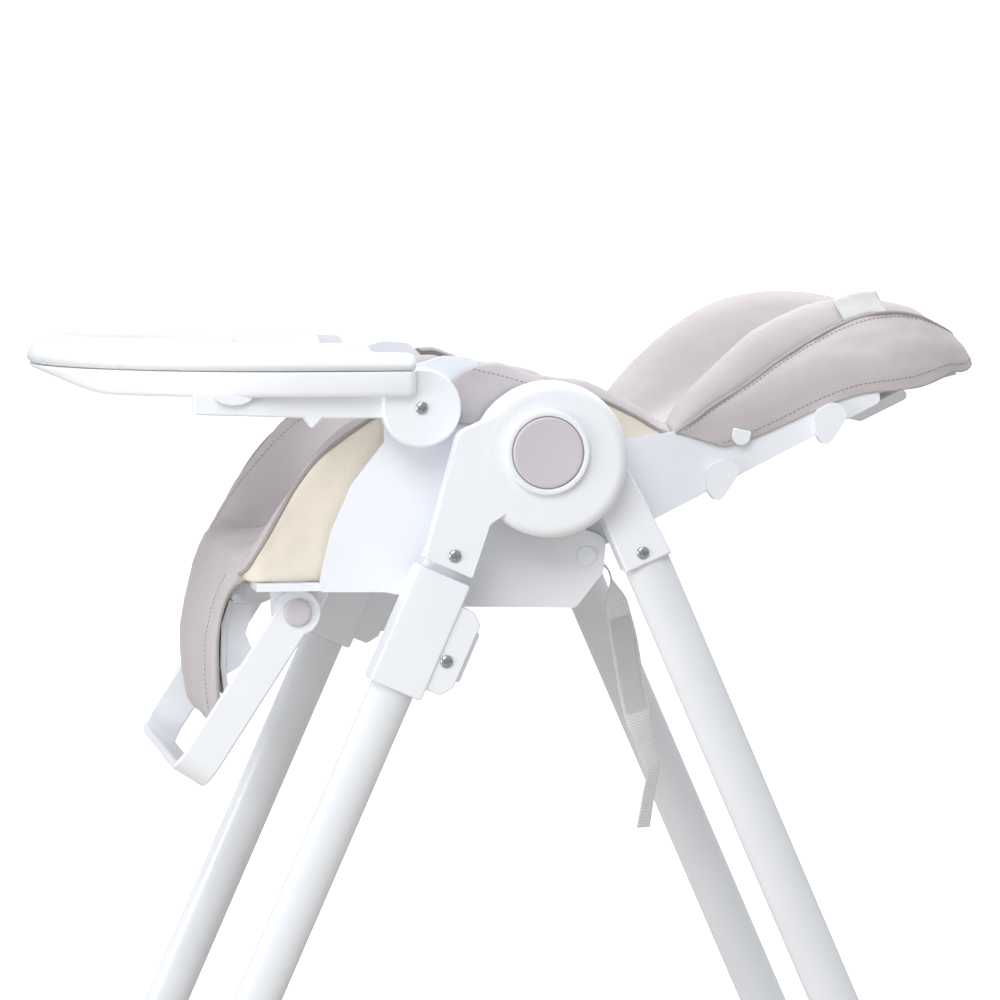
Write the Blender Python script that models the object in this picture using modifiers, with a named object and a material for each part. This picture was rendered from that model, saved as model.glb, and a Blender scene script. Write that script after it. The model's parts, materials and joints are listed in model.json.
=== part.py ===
"""Folding baby high chair: an A-frame of oval tubes, a seat that slides on the front legs,
a reclining back, a lifting tray with a loose top, a leg rest and a footrest.

Places in side view are (y, z) measured from the fold axis, y to the rear and z up, in metres.
Widths are measured along x from the middle plane. The child faces -Y, and its left is +X.
"""

from math import atan, cos, pi, radians, sin, tan

import bmesh
import bpy
from mathutils import Euler, Matrix, Vector

# ---------------------------------------------------------------- driving dimensions
HUB_HEIGHT = 0.680           # fold axis above the floor
HUB_Y = 0.0165               # fold axis behind the middle of the floor plan
CLEARANCE = 0.0003           # between solids that touch

FRONT_LEAN = atan(0.441)     # legs from the vertical
REAR_LEAN = atan(0.435)
FRONT_START = -0.0536        # where each leg's axis meets the level of the fold axis
REAR_START = 0.0549
FRONT_TUBE_X = 0.2416        # middle of each tube from the middle plane
REAR_TUBE_X = 0.2238
FRONT_TUBE = (0.028, 0.0430)     # oval: depth along x, width in side view
REAR_TUBE = (0.025, 0.0455)
TUBE_WALL = 0.002
TUBE_BASE = 0.016            # lower end of the tubes above the floor
SOCKET_END = 0.1104          # both sockets end this far down their leg

HUB_RADIUS = 0.074
HUB_INNER = 0.2405           # front housing, from its inner face out
HUB_OUTER = 0.2660
RECESS_CENTRE = (-0.005, 0.007)
RECESS_RADIUS = 0.047
RECESS_FLOOR = 0.2578
BUTTON_RADIUS = 0.0336
REAR_DISC = (0.2125, 0.2400)

PANEL = (0.1970, 0.2050)     # seat side panel, inner and outer face
SEAT_FLOOR = -0.1190         # top of the seat pan
SLEEVE = (0.118, 0.236)      # height slider along the front leg
SEAT_PAD_X = 0.1865

BACK_PIVOT = (0.044, -0.096)
BACK_LEAN = radians(26.4)    # reclined back above the level
BACK_SIDE = (0.1880, 0.1945)

TRAY_PIVOT = (-0.1212, 0.0488)
TRAY_DISC_RADIUS = 0.0375
ARM = (0.2265, 0.2405)
TRAY_BOTTOM = 0.0643
TRAY_MIDDLE = 0.0840
TRAY_TOP = 0.1060
TRAY_HALF = 0.2620
TRAY_CENTRE_Y = -0.230       # middle of the tray's rounded front
TRAY_REACH = 0.2430          # from there to its front edge

FOOTREST_PIVOT = (-0.2300, -0.1490)
FOOTREST_LEAN = atan(0.107 / 0.164)
LEG_PIVOT = (-0.2810, -0.1300)

SCREW_RADIUS = 0.0062
FRONT_FOOT = (0.2156, 0.2676)    # inner and outer side of the feet
REAR_FOOT = (0.1990, 0.2486)
CROSS_TUBE_HEIGHT = 0.0195
FLOOR = -HUB_HEIGHT

SIDES = (("left", 1.0), ("right", -1.0))


# ---------------------------------------------------------------- scene and materials
def clear_scene():
    for thing in list(bpy.data.objects):
        bpy.data.objects.remove(thing)


def new_collection(name):
    group = bpy.data.collections.new(name)
    bpy.context.scene.collection.children.link(group)
    return group


def new_material(name, colour, roughness, metallic=0.0):
    finish = bpy.data.materials.new(name)
    finish.use_nodes = True
    shader = finish.node_tree.nodes["Principled BSDF"]
    shader.inputs["Base Color"].default_value = (*colour, 1.0)
    shader.inputs["Roughness"].default_value = roughness
    shader.inputs["Metallic"].default_value = metallic
    return finish


clear_scene()
CHAIR = new_collection("high_chair")
CUTTERS = new_collection("cutters")

WHITE = new_material("white_plastic", (0.86, 0.87, 0.88), 0.32)
PAINT = new_material("white_paint", (0.87, 0.88, 0.89), 0.25)
TAUPE = new_material("taupe_plastic", (0.52, 0.47, 0.46), 0.45)
LEATHER = new_material("taupe_leatherette", (0.50, 0.45, 0.44), 0.50)
STEEL = new_material("zinc_steel", (0.55, 0.57, 0.60), 0.30, 1.0)
RUBBER = new_material("grey_rubber", (0.12, 0.12, 0.13), 0.80)
WEBBING = new_material("webbing", (0.80, 0.78, 0.75), 0.85)
BUCKLE = new_material("buckle_plastic", (0.35, 0.32, 0.31), 0.45)


# ---------------------------------------------------------------- places in side view
def on_front_leg(down, back=0.0):
    """A point down the front leg from the level of the fold axis, and behind the leg's axis."""
    return (FRONT_START - down * sin(FRONT_LEAN) + back * cos(FRONT_LEAN),
            -down * cos(FRONT_LEAN) - back * sin(FRONT_LEAN))


def on_rear_leg(down, back=0.0):
    return (REAR_START + down * sin(REAR_LEAN) + back * cos(REAR_LEAN),
            -down * cos(REAR_LEAN) + back * sin(REAR_LEAN))


def on_back(along, out=0.0):
    """A point along the reclined back from its pivot, and out towards the child."""
    return (BACK_PIVOT[0] + along * cos(BACK_LEAN) - out * sin(BACK_LEAN),
            BACK_PIVOT[1] + along * sin(BACK_LEAN) + out * cos(BACK_LEAN))


def down_to(place, height):
    """How far down a leg's axis a height above the floor lies; place is the leg's own function."""
    lean = FRONT_LEAN if place is on_front_leg else REAR_LEAN
    return (HUB_HEIGHT - height) / cos(lean)


def on_footrest(down, front=0.0):
    return (FOOTREST_PIVOT[0] - down * sin(FOOTREST_LEAN) - front * cos(FOOTREST_LEAN),
            FOOTREST_PIVOT[1] - down * cos(FOOTREST_LEAN) + front * sin(FOOTREST_LEAN))


def world(place, x=0.0):
    return Vector((x, HUB_Y + place[0], HUB_HEIGHT + place[1]))


# Local x, y and z of a side-view drawing are the world's y, z and x.
SIDE_VIEW = Matrix.Translation(world((0.0, 0.0))) @ Euler((pi / 2, 0.0, pi / 2)).to_matrix().to_4x4()
PLAN_VIEW = Matrix.Translation(world((0.0, 0.0)))


# ---------------------------------------------------------------- shaping tools
def arc(centre, radius, start, end, steps):
    """Points on an arc, angles in degrees."""
    points = []
    for step in range(steps + 1):
        angle = radians(start + (end - start) * step / steps)
        points.append((centre[0] + radius * cos(angle), centre[1] + radius * sin(angle)))
    return points


def rounded(corners, steps=3):
    """An outline through (place, radius) corners, each turned with an arc of its radius."""
    outline = []
    count = len(corners)
    for index, (place, radius) in enumerate(corners):
        here = Vector(place)
        if radius == 0.0:
            outline.append(here)
            continue
        before = (Vector(corners[index - 1][0]) - here).normalized()
        after = (Vector(corners[(index + 1) % count][0]) - here).normalized()
        half = before.angle(after) / 2
        centre = here + (before + after).normalized() * radius / sin(half)
        start = here + before * radius / tan(half) - centre
        turn = (pi - 2 * half) * (1.0 if before.cross(after) < 0 else -1.0)
        for step in range(steps + 1):
            outline.append(centre + Matrix.Rotation(turn * step / steps, 2) @ start)
    return outline


def finish_object(name, mesh, material, matrix, parent=None):
    """Put a mesh in the chair, with its origin on its parent's axis where it has one."""
    piece = bpy.data.objects.new(name, mesh)
    CHAIR.objects.link(piece)
    mesh.materials.clear()
    mesh.materials.append(material)
    if parent is None:
        piece.matrix_world = matrix
    else:
        pivot = Matrix.Translation(parent.location)
        mesh.transform(pivot.inverted() @ matrix)
        piece.parent = parent
    mesh.shade_smooth()
    mesh.set_sharp_from_angle(angle=radians(35))
    return piece


def prism(name, outline, low, high, material, view=SIDE_VIEW, parent=None):
    """A flat outline drawn as a filled curve, thick from low to high along the view's z."""
    drawing = bpy.data.curves.new(name, "CURVE")
    drawing.dimensions = "2D"
    drawing.fill_mode = "BOTH"
    drawing.extrude = abs(high - low) / 2
    spline = drawing.splines.new("POLY")
    spline.points.add(len(outline) - 1)
    for point, place in zip(spline.points, outline):
        point.co = (place[0], place[1], 0.0, 1.0)
    spline.use_cyclic_u = True
    guide = bpy.data.objects.new(name + "_drawing", drawing)
    CHAIR.objects.link(guide)
    mesh = bpy.data.meshes.new_from_object(guide.evaluated_get(bpy.context.evaluated_depsgraph_get()))
    bpy.data.objects.remove(guide)
    tidy = bmesh.new()
    tidy.from_mesh(mesh)
    bmesh.ops.remove_doubles(tidy, verts=tidy.verts, dist=0.00001)
    bmesh.ops.dissolve_limit(tidy, angle_limit=radians(0.5), verts=tidy.verts, edges=tidy.edges)
    bmesh.ops.recalc_face_normals(tidy, faces=tidy.faces)
    tidy.to_mesh(mesh)
    tidy.free()
    matrix = view @ Matrix.Translation((0.0, 0.0, (low + high) / 2))
    return finish_object(name, mesh, material, matrix, parent)


def side_prism(name, outline, side, span, material, parent=None):
    """A prism on one side of the chair, from span[0] out to span[1]."""
    return prism(name, outline, side * span[0], side * span[1], material, parent=parent)


def rod(name, place, side, span, radius, material, parent=None, sides=32, end_radius=None):
    """A round bar along x on one side, from span[0] out to span[1]."""
    mesh = bpy.data.meshes.new(name)
    shape = bmesh.new()
    bmesh.ops.create_cone(
        shape, cap_ends=True, segments=sides, radius1=radius,
        radius2=radius if end_radius is None else end_radius, depth=span[1] - span[0],
        matrix=Euler((0.0, side * pi / 2, 0.0)).to_matrix().to_4x4())
    shape.to_mesh(mesh)
    shape.free()
    matrix = Matrix.Translation(world(place, side * (span[0] + span[1]) / 2))
    return finish_object(name, mesh, material, matrix, parent)


def block(name, low, high, material, parent=None):
    """A box between two (x, y, z) corners, y and z from the fold axis."""
    mesh = bpy.data.meshes.new(name)
    shape = bmesh.new()
    bmesh.ops.create_cube(shape, size=1.0)
    size = [abs(b - a) for a, b in zip(low, high)]
    bmesh.ops.scale(shape, vec=size, verts=shape.verts)
    shape.to_mesh(mesh)
    shape.free()
    middle = [(a + b) / 2 for a, b in zip(low, high)]
    matrix = Matrix.Translation(world((middle[1], middle[2]), middle[0]))
    return finish_object(name, mesh, material, matrix, parent)


def oval_bar(name, x, start, end, section, material, parent=None):
    """A solid oval bar between two places in side view; section is (depth, width)."""
    mesh = bpy.data.meshes.new(name)
    shape = bmesh.new()
    bmesh.ops.create_cone(shape, cap_ends=True, segments=20, radius1=0.5, radius2=0.5, depth=1.0)
    run = world(end, x) - world(start, x)
    bmesh.ops.scale(shape, vec=(section[0], section[1], run.length), verts=shape.verts)
    shape.to_mesh(mesh)
    shape.free()
    along = run.normalized()
    across = along.cross(Vector((1.0, 0.0, 0.0)))
    turn = Matrix((Vector((1.0, 0.0, 0.0)), across, along)).transposed().to_4x4()
    if turn.determinant() < 0:
        turn = Matrix((Vector((1.0, 0.0, 0.0)), -across, along)).transposed().to_4x4()
    matrix = Matrix.Translation((world(start, x) + world(end, x)) / 2) @ turn
    return finish_object(name, mesh, material, matrix, parent)


def combine(piece, tool, operation):
    change = piece.modifiers.new(operation.lower(), "BOOLEAN")
    change.operation = operation
    change.object = tool
    tool.hide_render = True
    tool.display_type = "WIRE"
    CHAIR.objects.unlink(tool)
    CUTTERS.objects.link(tool)
    return piece


def join(piece, tool):
    return combine(piece, tool, "UNION")


def cut(piece, tool):
    return combine(piece, tool, "DIFFERENCE")


def soften(piece, width, segments=2):
    """Rounded edges. It goes on before any Boolean."""
    edge = piece.modifiers.new("rounded_edges", "BEVEL")
    edge.width = width
    edge.segments = segments
    edge.limit_method = "ANGLE"
    edge.angle_limit = radians(50)
    return piece


def loft(name, rings, material, parent=None):
    """A closed solid through rings of (x, y, z) points, y and z from the fold axis."""
    shape = bmesh.new()
    rows = []
    for ring in rings:
        rows.append([shape.verts.new(world((y, z), x)) for x, y, z in ring])
    count = len(rows[0])
    for near, far in zip(rows, rows[1:]):
        for index in range(count):
            after = (index + 1) % count
            shape.faces.new((near[index], near[after], far[after], far[index]))
    shape.faces.new(rows[0])
    shape.faces.new(rows[-1])
    bmesh.ops.triangulate(shape, faces=shape.faces)
    bmesh.ops.recalc_face_normals(shape, faces=shape.faces)
    mesh = bpy.data.meshes.new(name)
    shape.to_mesh(mesh)
    shape.free()
    return finish_object(name, mesh, material, Matrix.Identity(4), parent)


def pivot(name, place):
    """An empty on a joint's axis, the parent of what moves about it."""
    empty = bpy.data.objects.new(name, None)
    empty.location = world(place)
    CHAIR.objects.link(empty)
    return empty


def screw(name, place, side, face, parent=None, grip=0.006):
    """A domed cross-head screw: its head stands on a face, and its shank goes into it."""
    head = rod(name, place, side, (face + CLEARANCE, face + 0.0028), SCREW_RADIUS, STEEL,
               parent, sides=20, end_radius=SCREW_RADIUS * 0.62)
    shank = rod(name + "_shank", place, side, (face - grip, face + 0.0010), 0.0022, STEEL, sides=12)
    return join(head, shank)


def screw_hole(piece, place, side, face, grip=0.006):
    hole = rod(piece.name + "_screw_hole", place, side, (face - grip - 0.001, face + 0.002),
               0.0025, STEEL, sides=12)
    return cut(piece, hole)


# ---------------------------------------------------------------- leg frames
def leg_tube(name, x, place, section, parent=None):
    """A hollow oval tube from its socket down to the foot. place(down) walks along its axis."""
    base = down_to(place, TUBE_BASE)
    start = place(SOCKET_END - 0.045)
    end = place(base)
    tube = oval_bar(name, x, start, end, section, PAINT, parent)
    bore = tuple(size - 2 * TUBE_WALL for size in section)
    return cut(tube, oval_bar(name + "_bore", x, place(SOCKET_END - 0.055), place(base + 0.02),
                              bore, PAINT))


def tube_cutter(name, x, place, section, start, end, gap=CLEARANCE):
    wide = tuple(size + 2 * gap for size in section)
    return oval_bar(name + "_tube_space", x, place(start), place(end), wide, WHITE)


def front_hub(label, side):
    """Round housing with the front leg's socket, one moulding."""
    name = "front_hub_" + label
    outline = arc((0.0, 0.0), HUB_RADIUS, -130, 128, 24)
    outline += rounded([(outline[-1], 0.0), ((-0.088, 0.026), 0.012),
                        (on_front_leg(SOCKET_END, -0.0237), 0.002),
                        (on_front_leg(SOCKET_END, 0.0237), 0.002),
                        ((-0.062, -0.064), 0.008)])[1:]
    hub = soften(side_prism(name, outline, side, (HUB_INNER, HUB_OUTER), WHITE), 0.0025, 1)
    socket = [on_front_leg(0.062, -0.0236), on_front_leg(SOCKET_END - 0.0002, -0.0236),
              on_front_leg(SOCKET_END - 0.0002, 0.0236), on_front_leg(0.062, 0.0236)]
    join(hub, side_prism(name + "_socket", socket, side, (0.2243, HUB_INNER + 0.005), WHITE))
    cut(hub, tube_cutter(name, side * FRONT_TUBE_X, on_front_leg, FRONT_TUBE,
                         SOCKET_END - 0.0453, SOCKET_END + 0.02))
    cut(hub, rod(name + "_recess", RECESS_CENTRE, side, (RECESS_FLOOR, HUB_OUTER + 0.01),
                 RECESS_RADIUS, WHITE, sides=32))
    cut(hub, rod(name + "_bore", (0.0, 0.0), side, (HUB_INNER - 0.01, 0.2568), 0.0083, WHITE))
    return screw_hole(hub, on_front_leg(0.0977), side, HUB_OUTER)


def hub_ring(label, side):
    """White ring around the fold button, with a step that the button slides in."""
    name = "hub_ring_" + label
    ring = soften(rod(name, RECESS_CENTRE, side, (RECESS_FLOOR + CLEARANCE, 0.2715), 0.0402,
                      WHITE, sides=32), 0.001, 1)
    return cut(ring, rod(name + "_bore", RECESS_CENTRE, side, (RECESS_FLOOR - 0.01, 0.28),
                         BUTTON_RADIUS + 0.0006, WHITE, sides=32))


def fold_button(label, side):
    axis = pivot("fold_button_axis_" + label, RECESS_CENTRE)
    button = rod("fold_button_" + label, RECESS_CENTRE, side, (0.2625, 0.2725), BUTTON_RADIUS,
                 TAUPE, axis, sides=32)
    return soften(button, 0.0015, 1)


def rear_hub(label, side, fold):
    """Inner disc of the fold joint with the rear leg's socket, one moulding."""
    name = "rear_hub_" + label
    hub = rod(name, (0.0, 0.0), side, REAR_DISC, 0.070, WHITE, fold, sides=36)
    outline = rounded([(on_rear_leg(0.0, 0.016), 0.0), (on_rear_leg(0.020, -0.0240), 0.0),
                       (on_rear_leg(SOCKET_END, -0.0240), 0.002),
                       (on_rear_leg(SOCKET_END, 0.0240), 0.002)])
    socket = soften(side_prism(name + "_socket", outline, side, (0.2085, 0.2395), WHITE), 0.002, 1)
    join(hub, socket)
    cut(hub, tube_cutter(name, side * REAR_TUBE_X, on_rear_leg, REAR_TUBE,
                         SOCKET_END - 0.0453, SOCKET_END + 0.02))
    cut(hub, rod(name + "_bore", (0.0, 0.0), side, (0.20, 0.25), 0.0083, WHITE))
    return screw_hole(hub, on_rear_leg(0.0985, -0.002), side, 0.2395, 0.002)


def foot(name, side, place, tube_x, section, width, length, parent=None):
    """Moulded foot that the tube stands in, with a bore for the cross tube."""
    middle = place(down_to(place, 0.0))[0]
    outline = rounded([((middle - length / 2, FLOOR + 0.0033), 0.004),
                       ((middle + length / 2, FLOOR + 0.0033), 0.004),
                       ((middle + length / 2 - 0.006, FLOOR + 0.034), 0.012),
                       ((middle - length / 2 + 0.006, FLOOR + 0.034), 0.012)])
    shoe = soften(side_prism(name, outline, side, width, WHITE, parent), 0.003)
    cut(shoe, tube_cutter(name, side * tube_x, place, section,
                          down_to(place, TUBE_BASE - CLEARANCE), 0.62))
    return cut(shoe, rod(name + "_cross_bore", (middle, FLOOR + CROSS_TUBE_HEIGHT), side,
                         (0.18, width[0] + 0.0083), 0.0113, WHITE, sides=16))


def foot_pad(name, side, place, width, length, parent=None):
    middle = place(down_to(place, 0.0))[0]
    low = (side * (width[0] + 0.004), middle - length / 2 + 0.004, FLOOR)
    high = (side * (width[1] - 0.004), middle + length / 2 - 0.004, FLOOR + 0.003)
    return block(name, low, high, RUBBER, parent)


def cross_tube(name, place, width, parent=None):
    """Round tube between the feet of one pair of legs."""
    middle = (place(down_to(place, 0.0))[0], FLOOR + CROSS_TUBE_HEIGHT)
    end = width[0] + 0.008
    tube = rod(name, middle, 1.0, (-end, end), 0.011, PAINT, parent, sides=16)
    return cut(tube, rod(name + "_bore", middle, 1.0, (-end - 0.01, end + 0.01), 0.009, PAINT, sides=16))


def leg_frames():
    fold = pivot("fold_axis", (0.0, 0.0))
    for label, side in SIDES:
        leg_tube("front_leg_" + label, side * FRONT_TUBE_X, on_front_leg, FRONT_TUBE)
        leg_tube("rear_leg_" + label, side * REAR_TUBE_X, on_rear_leg, REAR_TUBE, fold)
        front_hub(label, side)
        hub_ring(label, side)
        fold_button(label, side)
        rear_hub(label, side, fold)
        rod("hub_pin_" + label, (0.0, 0.0), side, (0.2130, 0.2565), 0.008, STEEL, sides=24)
        screw("front_socket_screw_" + label, on_front_leg(0.0977), side, HUB_OUTER)
        screw("rear_socket_screw_" + label, on_rear_leg(0.0985, -0.002), side, 0.2395, fold, 0.002)
        foot("front_foot_" + label, side, on_front_leg, FRONT_TUBE_X, FRONT_TUBE, FRONT_FOOT, 0.105)
        foot("rear_foot_" + label, side, on_rear_leg, REAR_TUBE_X, REAR_TUBE, REAR_FOOT, 0.100, fold)
        foot_pad("front_foot_pad_" + label, side, on_front_leg, FRONT_FOOT, 0.105)
        foot_pad("rear_foot_pad_" + label, side, on_rear_leg, REAR_FOOT, 0.100, fold)
    cross_tube("front_cross_tube", on_front_leg, FRONT_FOOT)
    cross_tube("rear_cross_tube", on_rear_leg, REAR_FOOT, fold)


# ---------------------------------------------------------------- seat and its height sliders
def side_panel(name, side):
    """Seat side: armrest, ear for the tray's hinge, and boss for the back's hinge."""
    outline = rounded([((-0.214, -0.127), 0.004), ((-0.150, -0.128), 0.0),
                       ((-0.078, -0.143), 0.006), ((0.034, -0.146), 0.008),
                       ((0.061, -0.112), 0.012), ((0.064, -0.078), 0.012),
                       ((0.040, -0.070), 0.006), ((0.050, 0.000), 0.0),
                       ((0.050, 0.036), 0.008), ((0.010, 0.058), 0.0),
                       ((-0.045, 0.074), 0.0), ((-0.066, 0.094), 0.010),
                       ((-0.092, 0.096), 0.010), ((-0.121, 0.088), 0.0),
                       ((-0.150, 0.066), 0.012), ((-0.150, 0.014), 0.0),
                       ((-0.163, -0.002), 0.0), ((-0.182, -0.027), 0.0),
                       ((-0.201, -0.070), 0.0), ((-0.211, -0.112), 0.0)])
    return side_prism(name, outline, side, PANEL, WHITE)


def seat_shell(seat):
    """Seat pan, both side panels and every bracket on them, one moulding."""
    pan = [(-0.2720, -0.1265), (0.050, -0.1265), (0.050, SEAT_FLOOR), (-0.2720, SEAT_FLOOR)]
    shell = prism("seat_shell", pan, -0.199, 0.199, WHITE, parent=seat)
    hanger = rounded([((-0.2540, -0.1205), 0.0), ((-0.2520, -0.1705), 0.0215),
                      ((-0.2080, -0.1705), 0.0215), ((-0.2080, -0.1205), 0.0)], 8)
    knuckle = rounded([((-0.2650, -0.1200), 0.0), ((-0.2880, -0.1200), 0.006),
                       ((-0.2880, -0.1370), 0.006), ((-0.2740, -0.1370), 0.006),
                       ((-0.2600, -0.1250), 0.0)])
    for label, side in SIDES:
        join(shell, side_panel("panel_" + label, side))
        join(shell, side_prism("hanger_" + label, hanger, side, (0.1500, 0.1650), WHITE))
        join(shell, side_prism("knuckle_" + label, knuckle, side, (0.1010, 0.1090), WHITE))
        join(shell, rod("tray_boss_" + label, TRAY_PIVOT, side, (PANEL[0] + 0.002, 0.2242),
                        0.026, WHITE))
        cut(shell, rod("tray_bore_" + label, TRAY_PIVOT, side, (0.2060, 0.2400), 0.0033, WHITE,
                       sides=16))
        cut(shell, rod("back_bore_" + label, BACK_PIVOT, side, (0.1900, 0.2200), 0.0063, WHITE,
                       sides=20))
        cut(shell, rod("footrest_bore_" + label, FOOTREST_PIVOT, side, (0.1560, 0.1800), 0.0053,
                       WHITE, sides=20))
        cut(shell, rod("leg_bore_" + label, LEG_PIVOT, side, (0.0900, 0.1200), 0.0032, WHITE,
                       sides=16))
    return shell


def height_slider(label, side, seat):
    """Sleeve that rides on the front leg, with the latch housing behind it."""
    name = "height_slider_" + label
    sleeve = [on_front_leg(SLEEVE[0], -0.0267), on_front_leg(SLEEVE[1], -0.0267),
              on_front_leg(SLEEVE[1], 0.0267), on_front_leg(SLEEVE[0], 0.0267)]
    slider = soften(side_prism(name, sleeve, side, (0.2216, 0.2616), WHITE, seat), 0.003)
    housing = rounded([(on_front_leg(0.139, 0.020), 0.0), (on_front_leg(0.224, 0.020), 0.0),
                       (on_front_leg(0.224, 0.0420), 0.004), (on_front_leg(0.212, 0.0505), 0.004),
                       (on_front_leg(0.148, 0.0505), 0.004), (on_front_leg(0.139, 0.0400), 0.004)])
    join(slider, soften(side_prism(name + "_housing", housing, side, (0.2260, 0.2590), WHITE), 0.002))
    web = [on_front_leg(0.132, -0.020), on_front_leg(0.226, -0.020),
           on_front_leg(0.226, 0.020), on_front_leg(0.132, 0.020)]
    join(slider, side_prism(name + "_web", web, side, (PANEL[1] + CLEARANCE, 0.2230), WHITE))
    cut(slider, tube_cutter(name, side * FRONT_TUBE_X, on_front_leg, FRONT_TUBE,
                            0.10, 0.26, 0.0005))
    pocket = rounded([(on_front_leg(0.1548, 0.0290), 0.0), (on_front_leg(0.2072, 0.0290), 0.0),
                      (on_front_leg(0.2072, 0.0600), 0.0), (on_front_leg(0.1548, 0.0600), 0.0)])
    cut(slider, side_prism(name + "_pocket", pocket, side, (0.2305, 0.2545), WHITE))
    return screw_hole(slider, on_front_leg(0.192, 0.0340), side, 0.2590, 0.003)


def height_button(label, side, seat):
    """Squeeze button behind the latch housing."""
    axis = pivot("height_button_axis_" + label, on_front_leg(0.181, 0.045))
    outline = rounded([(on_front_leg(0.1555, 0.0340), 0.0), (on_front_leg(0.2065, 0.0340), 0.0),
                       (on_front_leg(0.2065, 0.0545), 0.003), (on_front_leg(0.1555, 0.0545), 0.003)])
    side_prism("height_button_" + label, outline, side, (0.2310, 0.2540), WHITE, axis)
    axis.parent = seat
    axis.location -= seat.location


def seat_pad(seat):
    """Seat cushion with its two side bolsters."""
    wing = ((-0.284, -0.0980), (-0.275, -0.0900), (-0.250, -0.0550), (-0.225, -0.0100),
            (-0.192, 0.0240), (-0.150, 0.0480), (-0.110, 0.0640), (-0.080, 0.0760),
            (-0.050, 0.0830), (-0.008, 0.0740))
    rings = []
    for y, crest in wing:
        middle = -0.0850 if y > -0.28 else -0.0990
        under = -0.1187 if y > -0.28 else -0.1065      # the front edge clears the raised leg rest
        lip = max(crest - 0.012, middle)
        half = [(SEAT_PAD_X, under), (SEAT_PAD_X, lip), (0.1740, max(crest, middle + 0.001)),
                (0.1560, lip + 0.0005), (0.1400, middle + 0.0002)]
        ring = [(x, y, z) for x, z in half] + [(-x, y, z) for x, z in reversed(half)]
        rings.append(ring)
    return loft("seat_pad", rings, LEATHER, seat)


def leg_rest(seat):
    """Calf board on its hinge under the front of the seat, and its padded cover."""
    hinge = pivot("leg_rest_axis", LEG_PIVOT)
    board = [(-0.2895, -0.1420), (-0.2970, -0.1650), (-0.2980, -0.2050), (-0.2940, -0.2350),
             (-0.2890, -0.2350), (-0.2930, -0.2050), (-0.2920, -0.1670), (-0.2845, -0.1420)]
    neck = [(-0.2866, -0.1300), (-0.2925, -0.1500), (-0.2875, -0.1500), (-0.2800, -0.1300)]
    plate = prism("leg_rest_plate", board, -0.120, 0.120, WHITE, parent=hinge)
    join(plate, prism("leg_neck", neck, -0.0990, 0.0990, WHITE))
    join(plate, rod("leg_barrel", LEG_PIVOT, 1.0, (-0.1005, 0.1005), 0.0068, WHITE, sides=20))
    join(plate, rod("leg_pin", LEG_PIVOT, 1.0, (-0.1085, 0.1085), 0.0030, WHITE, sides=16))
    rib = rounded([((-0.2880, -0.1450), 0.0), ((-0.2950, -0.1850), 0.0), ((-0.2940, -0.2150), 0.0),
                   ((-0.2820, -0.2080), 0.003), ((-0.2650, -0.1930), 0.003),
                   ((-0.2730, -0.1740), 0.003), ((-0.2640, -0.1450), 0.003)])
    for label, side in SIDES:
        join(plate, side_prism("leg_rib_" + label, rib, side, (0.1120, 0.1160), WHITE))
    cover = rounded([((-0.2900, -0.1225), 0.0), ((-0.3080, -0.1200), 0.008),
                     ((-0.3190, -0.1450), 0.0), ((-0.3230, -0.1850), 0.0), ((-0.3210, -0.2250), 0.0),
                     ((-0.3160, -0.2560), 0.003), ((-0.2980, -0.2560), 0.003),
                     ((-0.2990, -0.2360), 0.0), ((-0.3020, -0.2050), 0.0),
                     ((-0.3010, -0.1650), 0.0), ((-0.2940, -0.1370), 0.0)])
    prism("leg_rest_pad", cover, -0.135, 0.135, LEATHER, parent=hinge)
    hinge.parent = seat
    hinge.location -= seat.location


def footrest(seat):
    """U-shaped band whose flat lower run is the step, on two round eyes with caps."""
    hinge = pivot("footrest_axis", FOOTREST_PIVOT)
    outer, inner, base = 0.1735, 0.1655, 0.1900
    band = rounded([((-outer, 0.0), 0.0), ((-outer, -base), 0.028), ((outer, -base), 0.028),
                    ((outer, 0.0), 0.0), ((inner, 0.0), 0.0), ((inner, -base + 0.008), 0.020),
                    ((-inner, -base + 0.008), 0.020), ((-inner, 0.0), 0.0)], 6)
    tilt = Matrix.Rotation(-FOOTREST_LEAN, 4, "X")
    view = Matrix.Translation(world(FOOTREST_PIVOT)) @ tilt @ Euler((pi / 2, 0.0, 0.0)).to_matrix().to_4x4()
    rest = soften(prism("footrest", band, -0.018, 0.018, WHITE, view, hinge), 0.0015, 1)
    for label, side in SIDES:
        join(rest, rod("footrest_eye_" + label, FOOTREST_PIVOT, side, (inner + 0.0002, outer - 0.0002),
                       0.0220, WHITE))
        cut(rest, rod("footrest_eye_bore_" + label, FOOTREST_PIVOT, side, (0.15, 0.18), 0.0053,
                      WHITE, sides=20))
        cap = rod("footrest_cap_" + label, FOOTREST_PIVOT, side, (outer + CLEARANCE, 0.1775), 0.0135,
                  TAUPE, seat, end_radius=0.0120)
        join(cap, rod("footrest_pin_" + label, FOOTREST_PIVOT, side, (0.1580, 0.1750), 0.0050,
                      TAUPE, sides=20))
    hinge.parent = seat
    hinge.location -= seat.location


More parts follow.
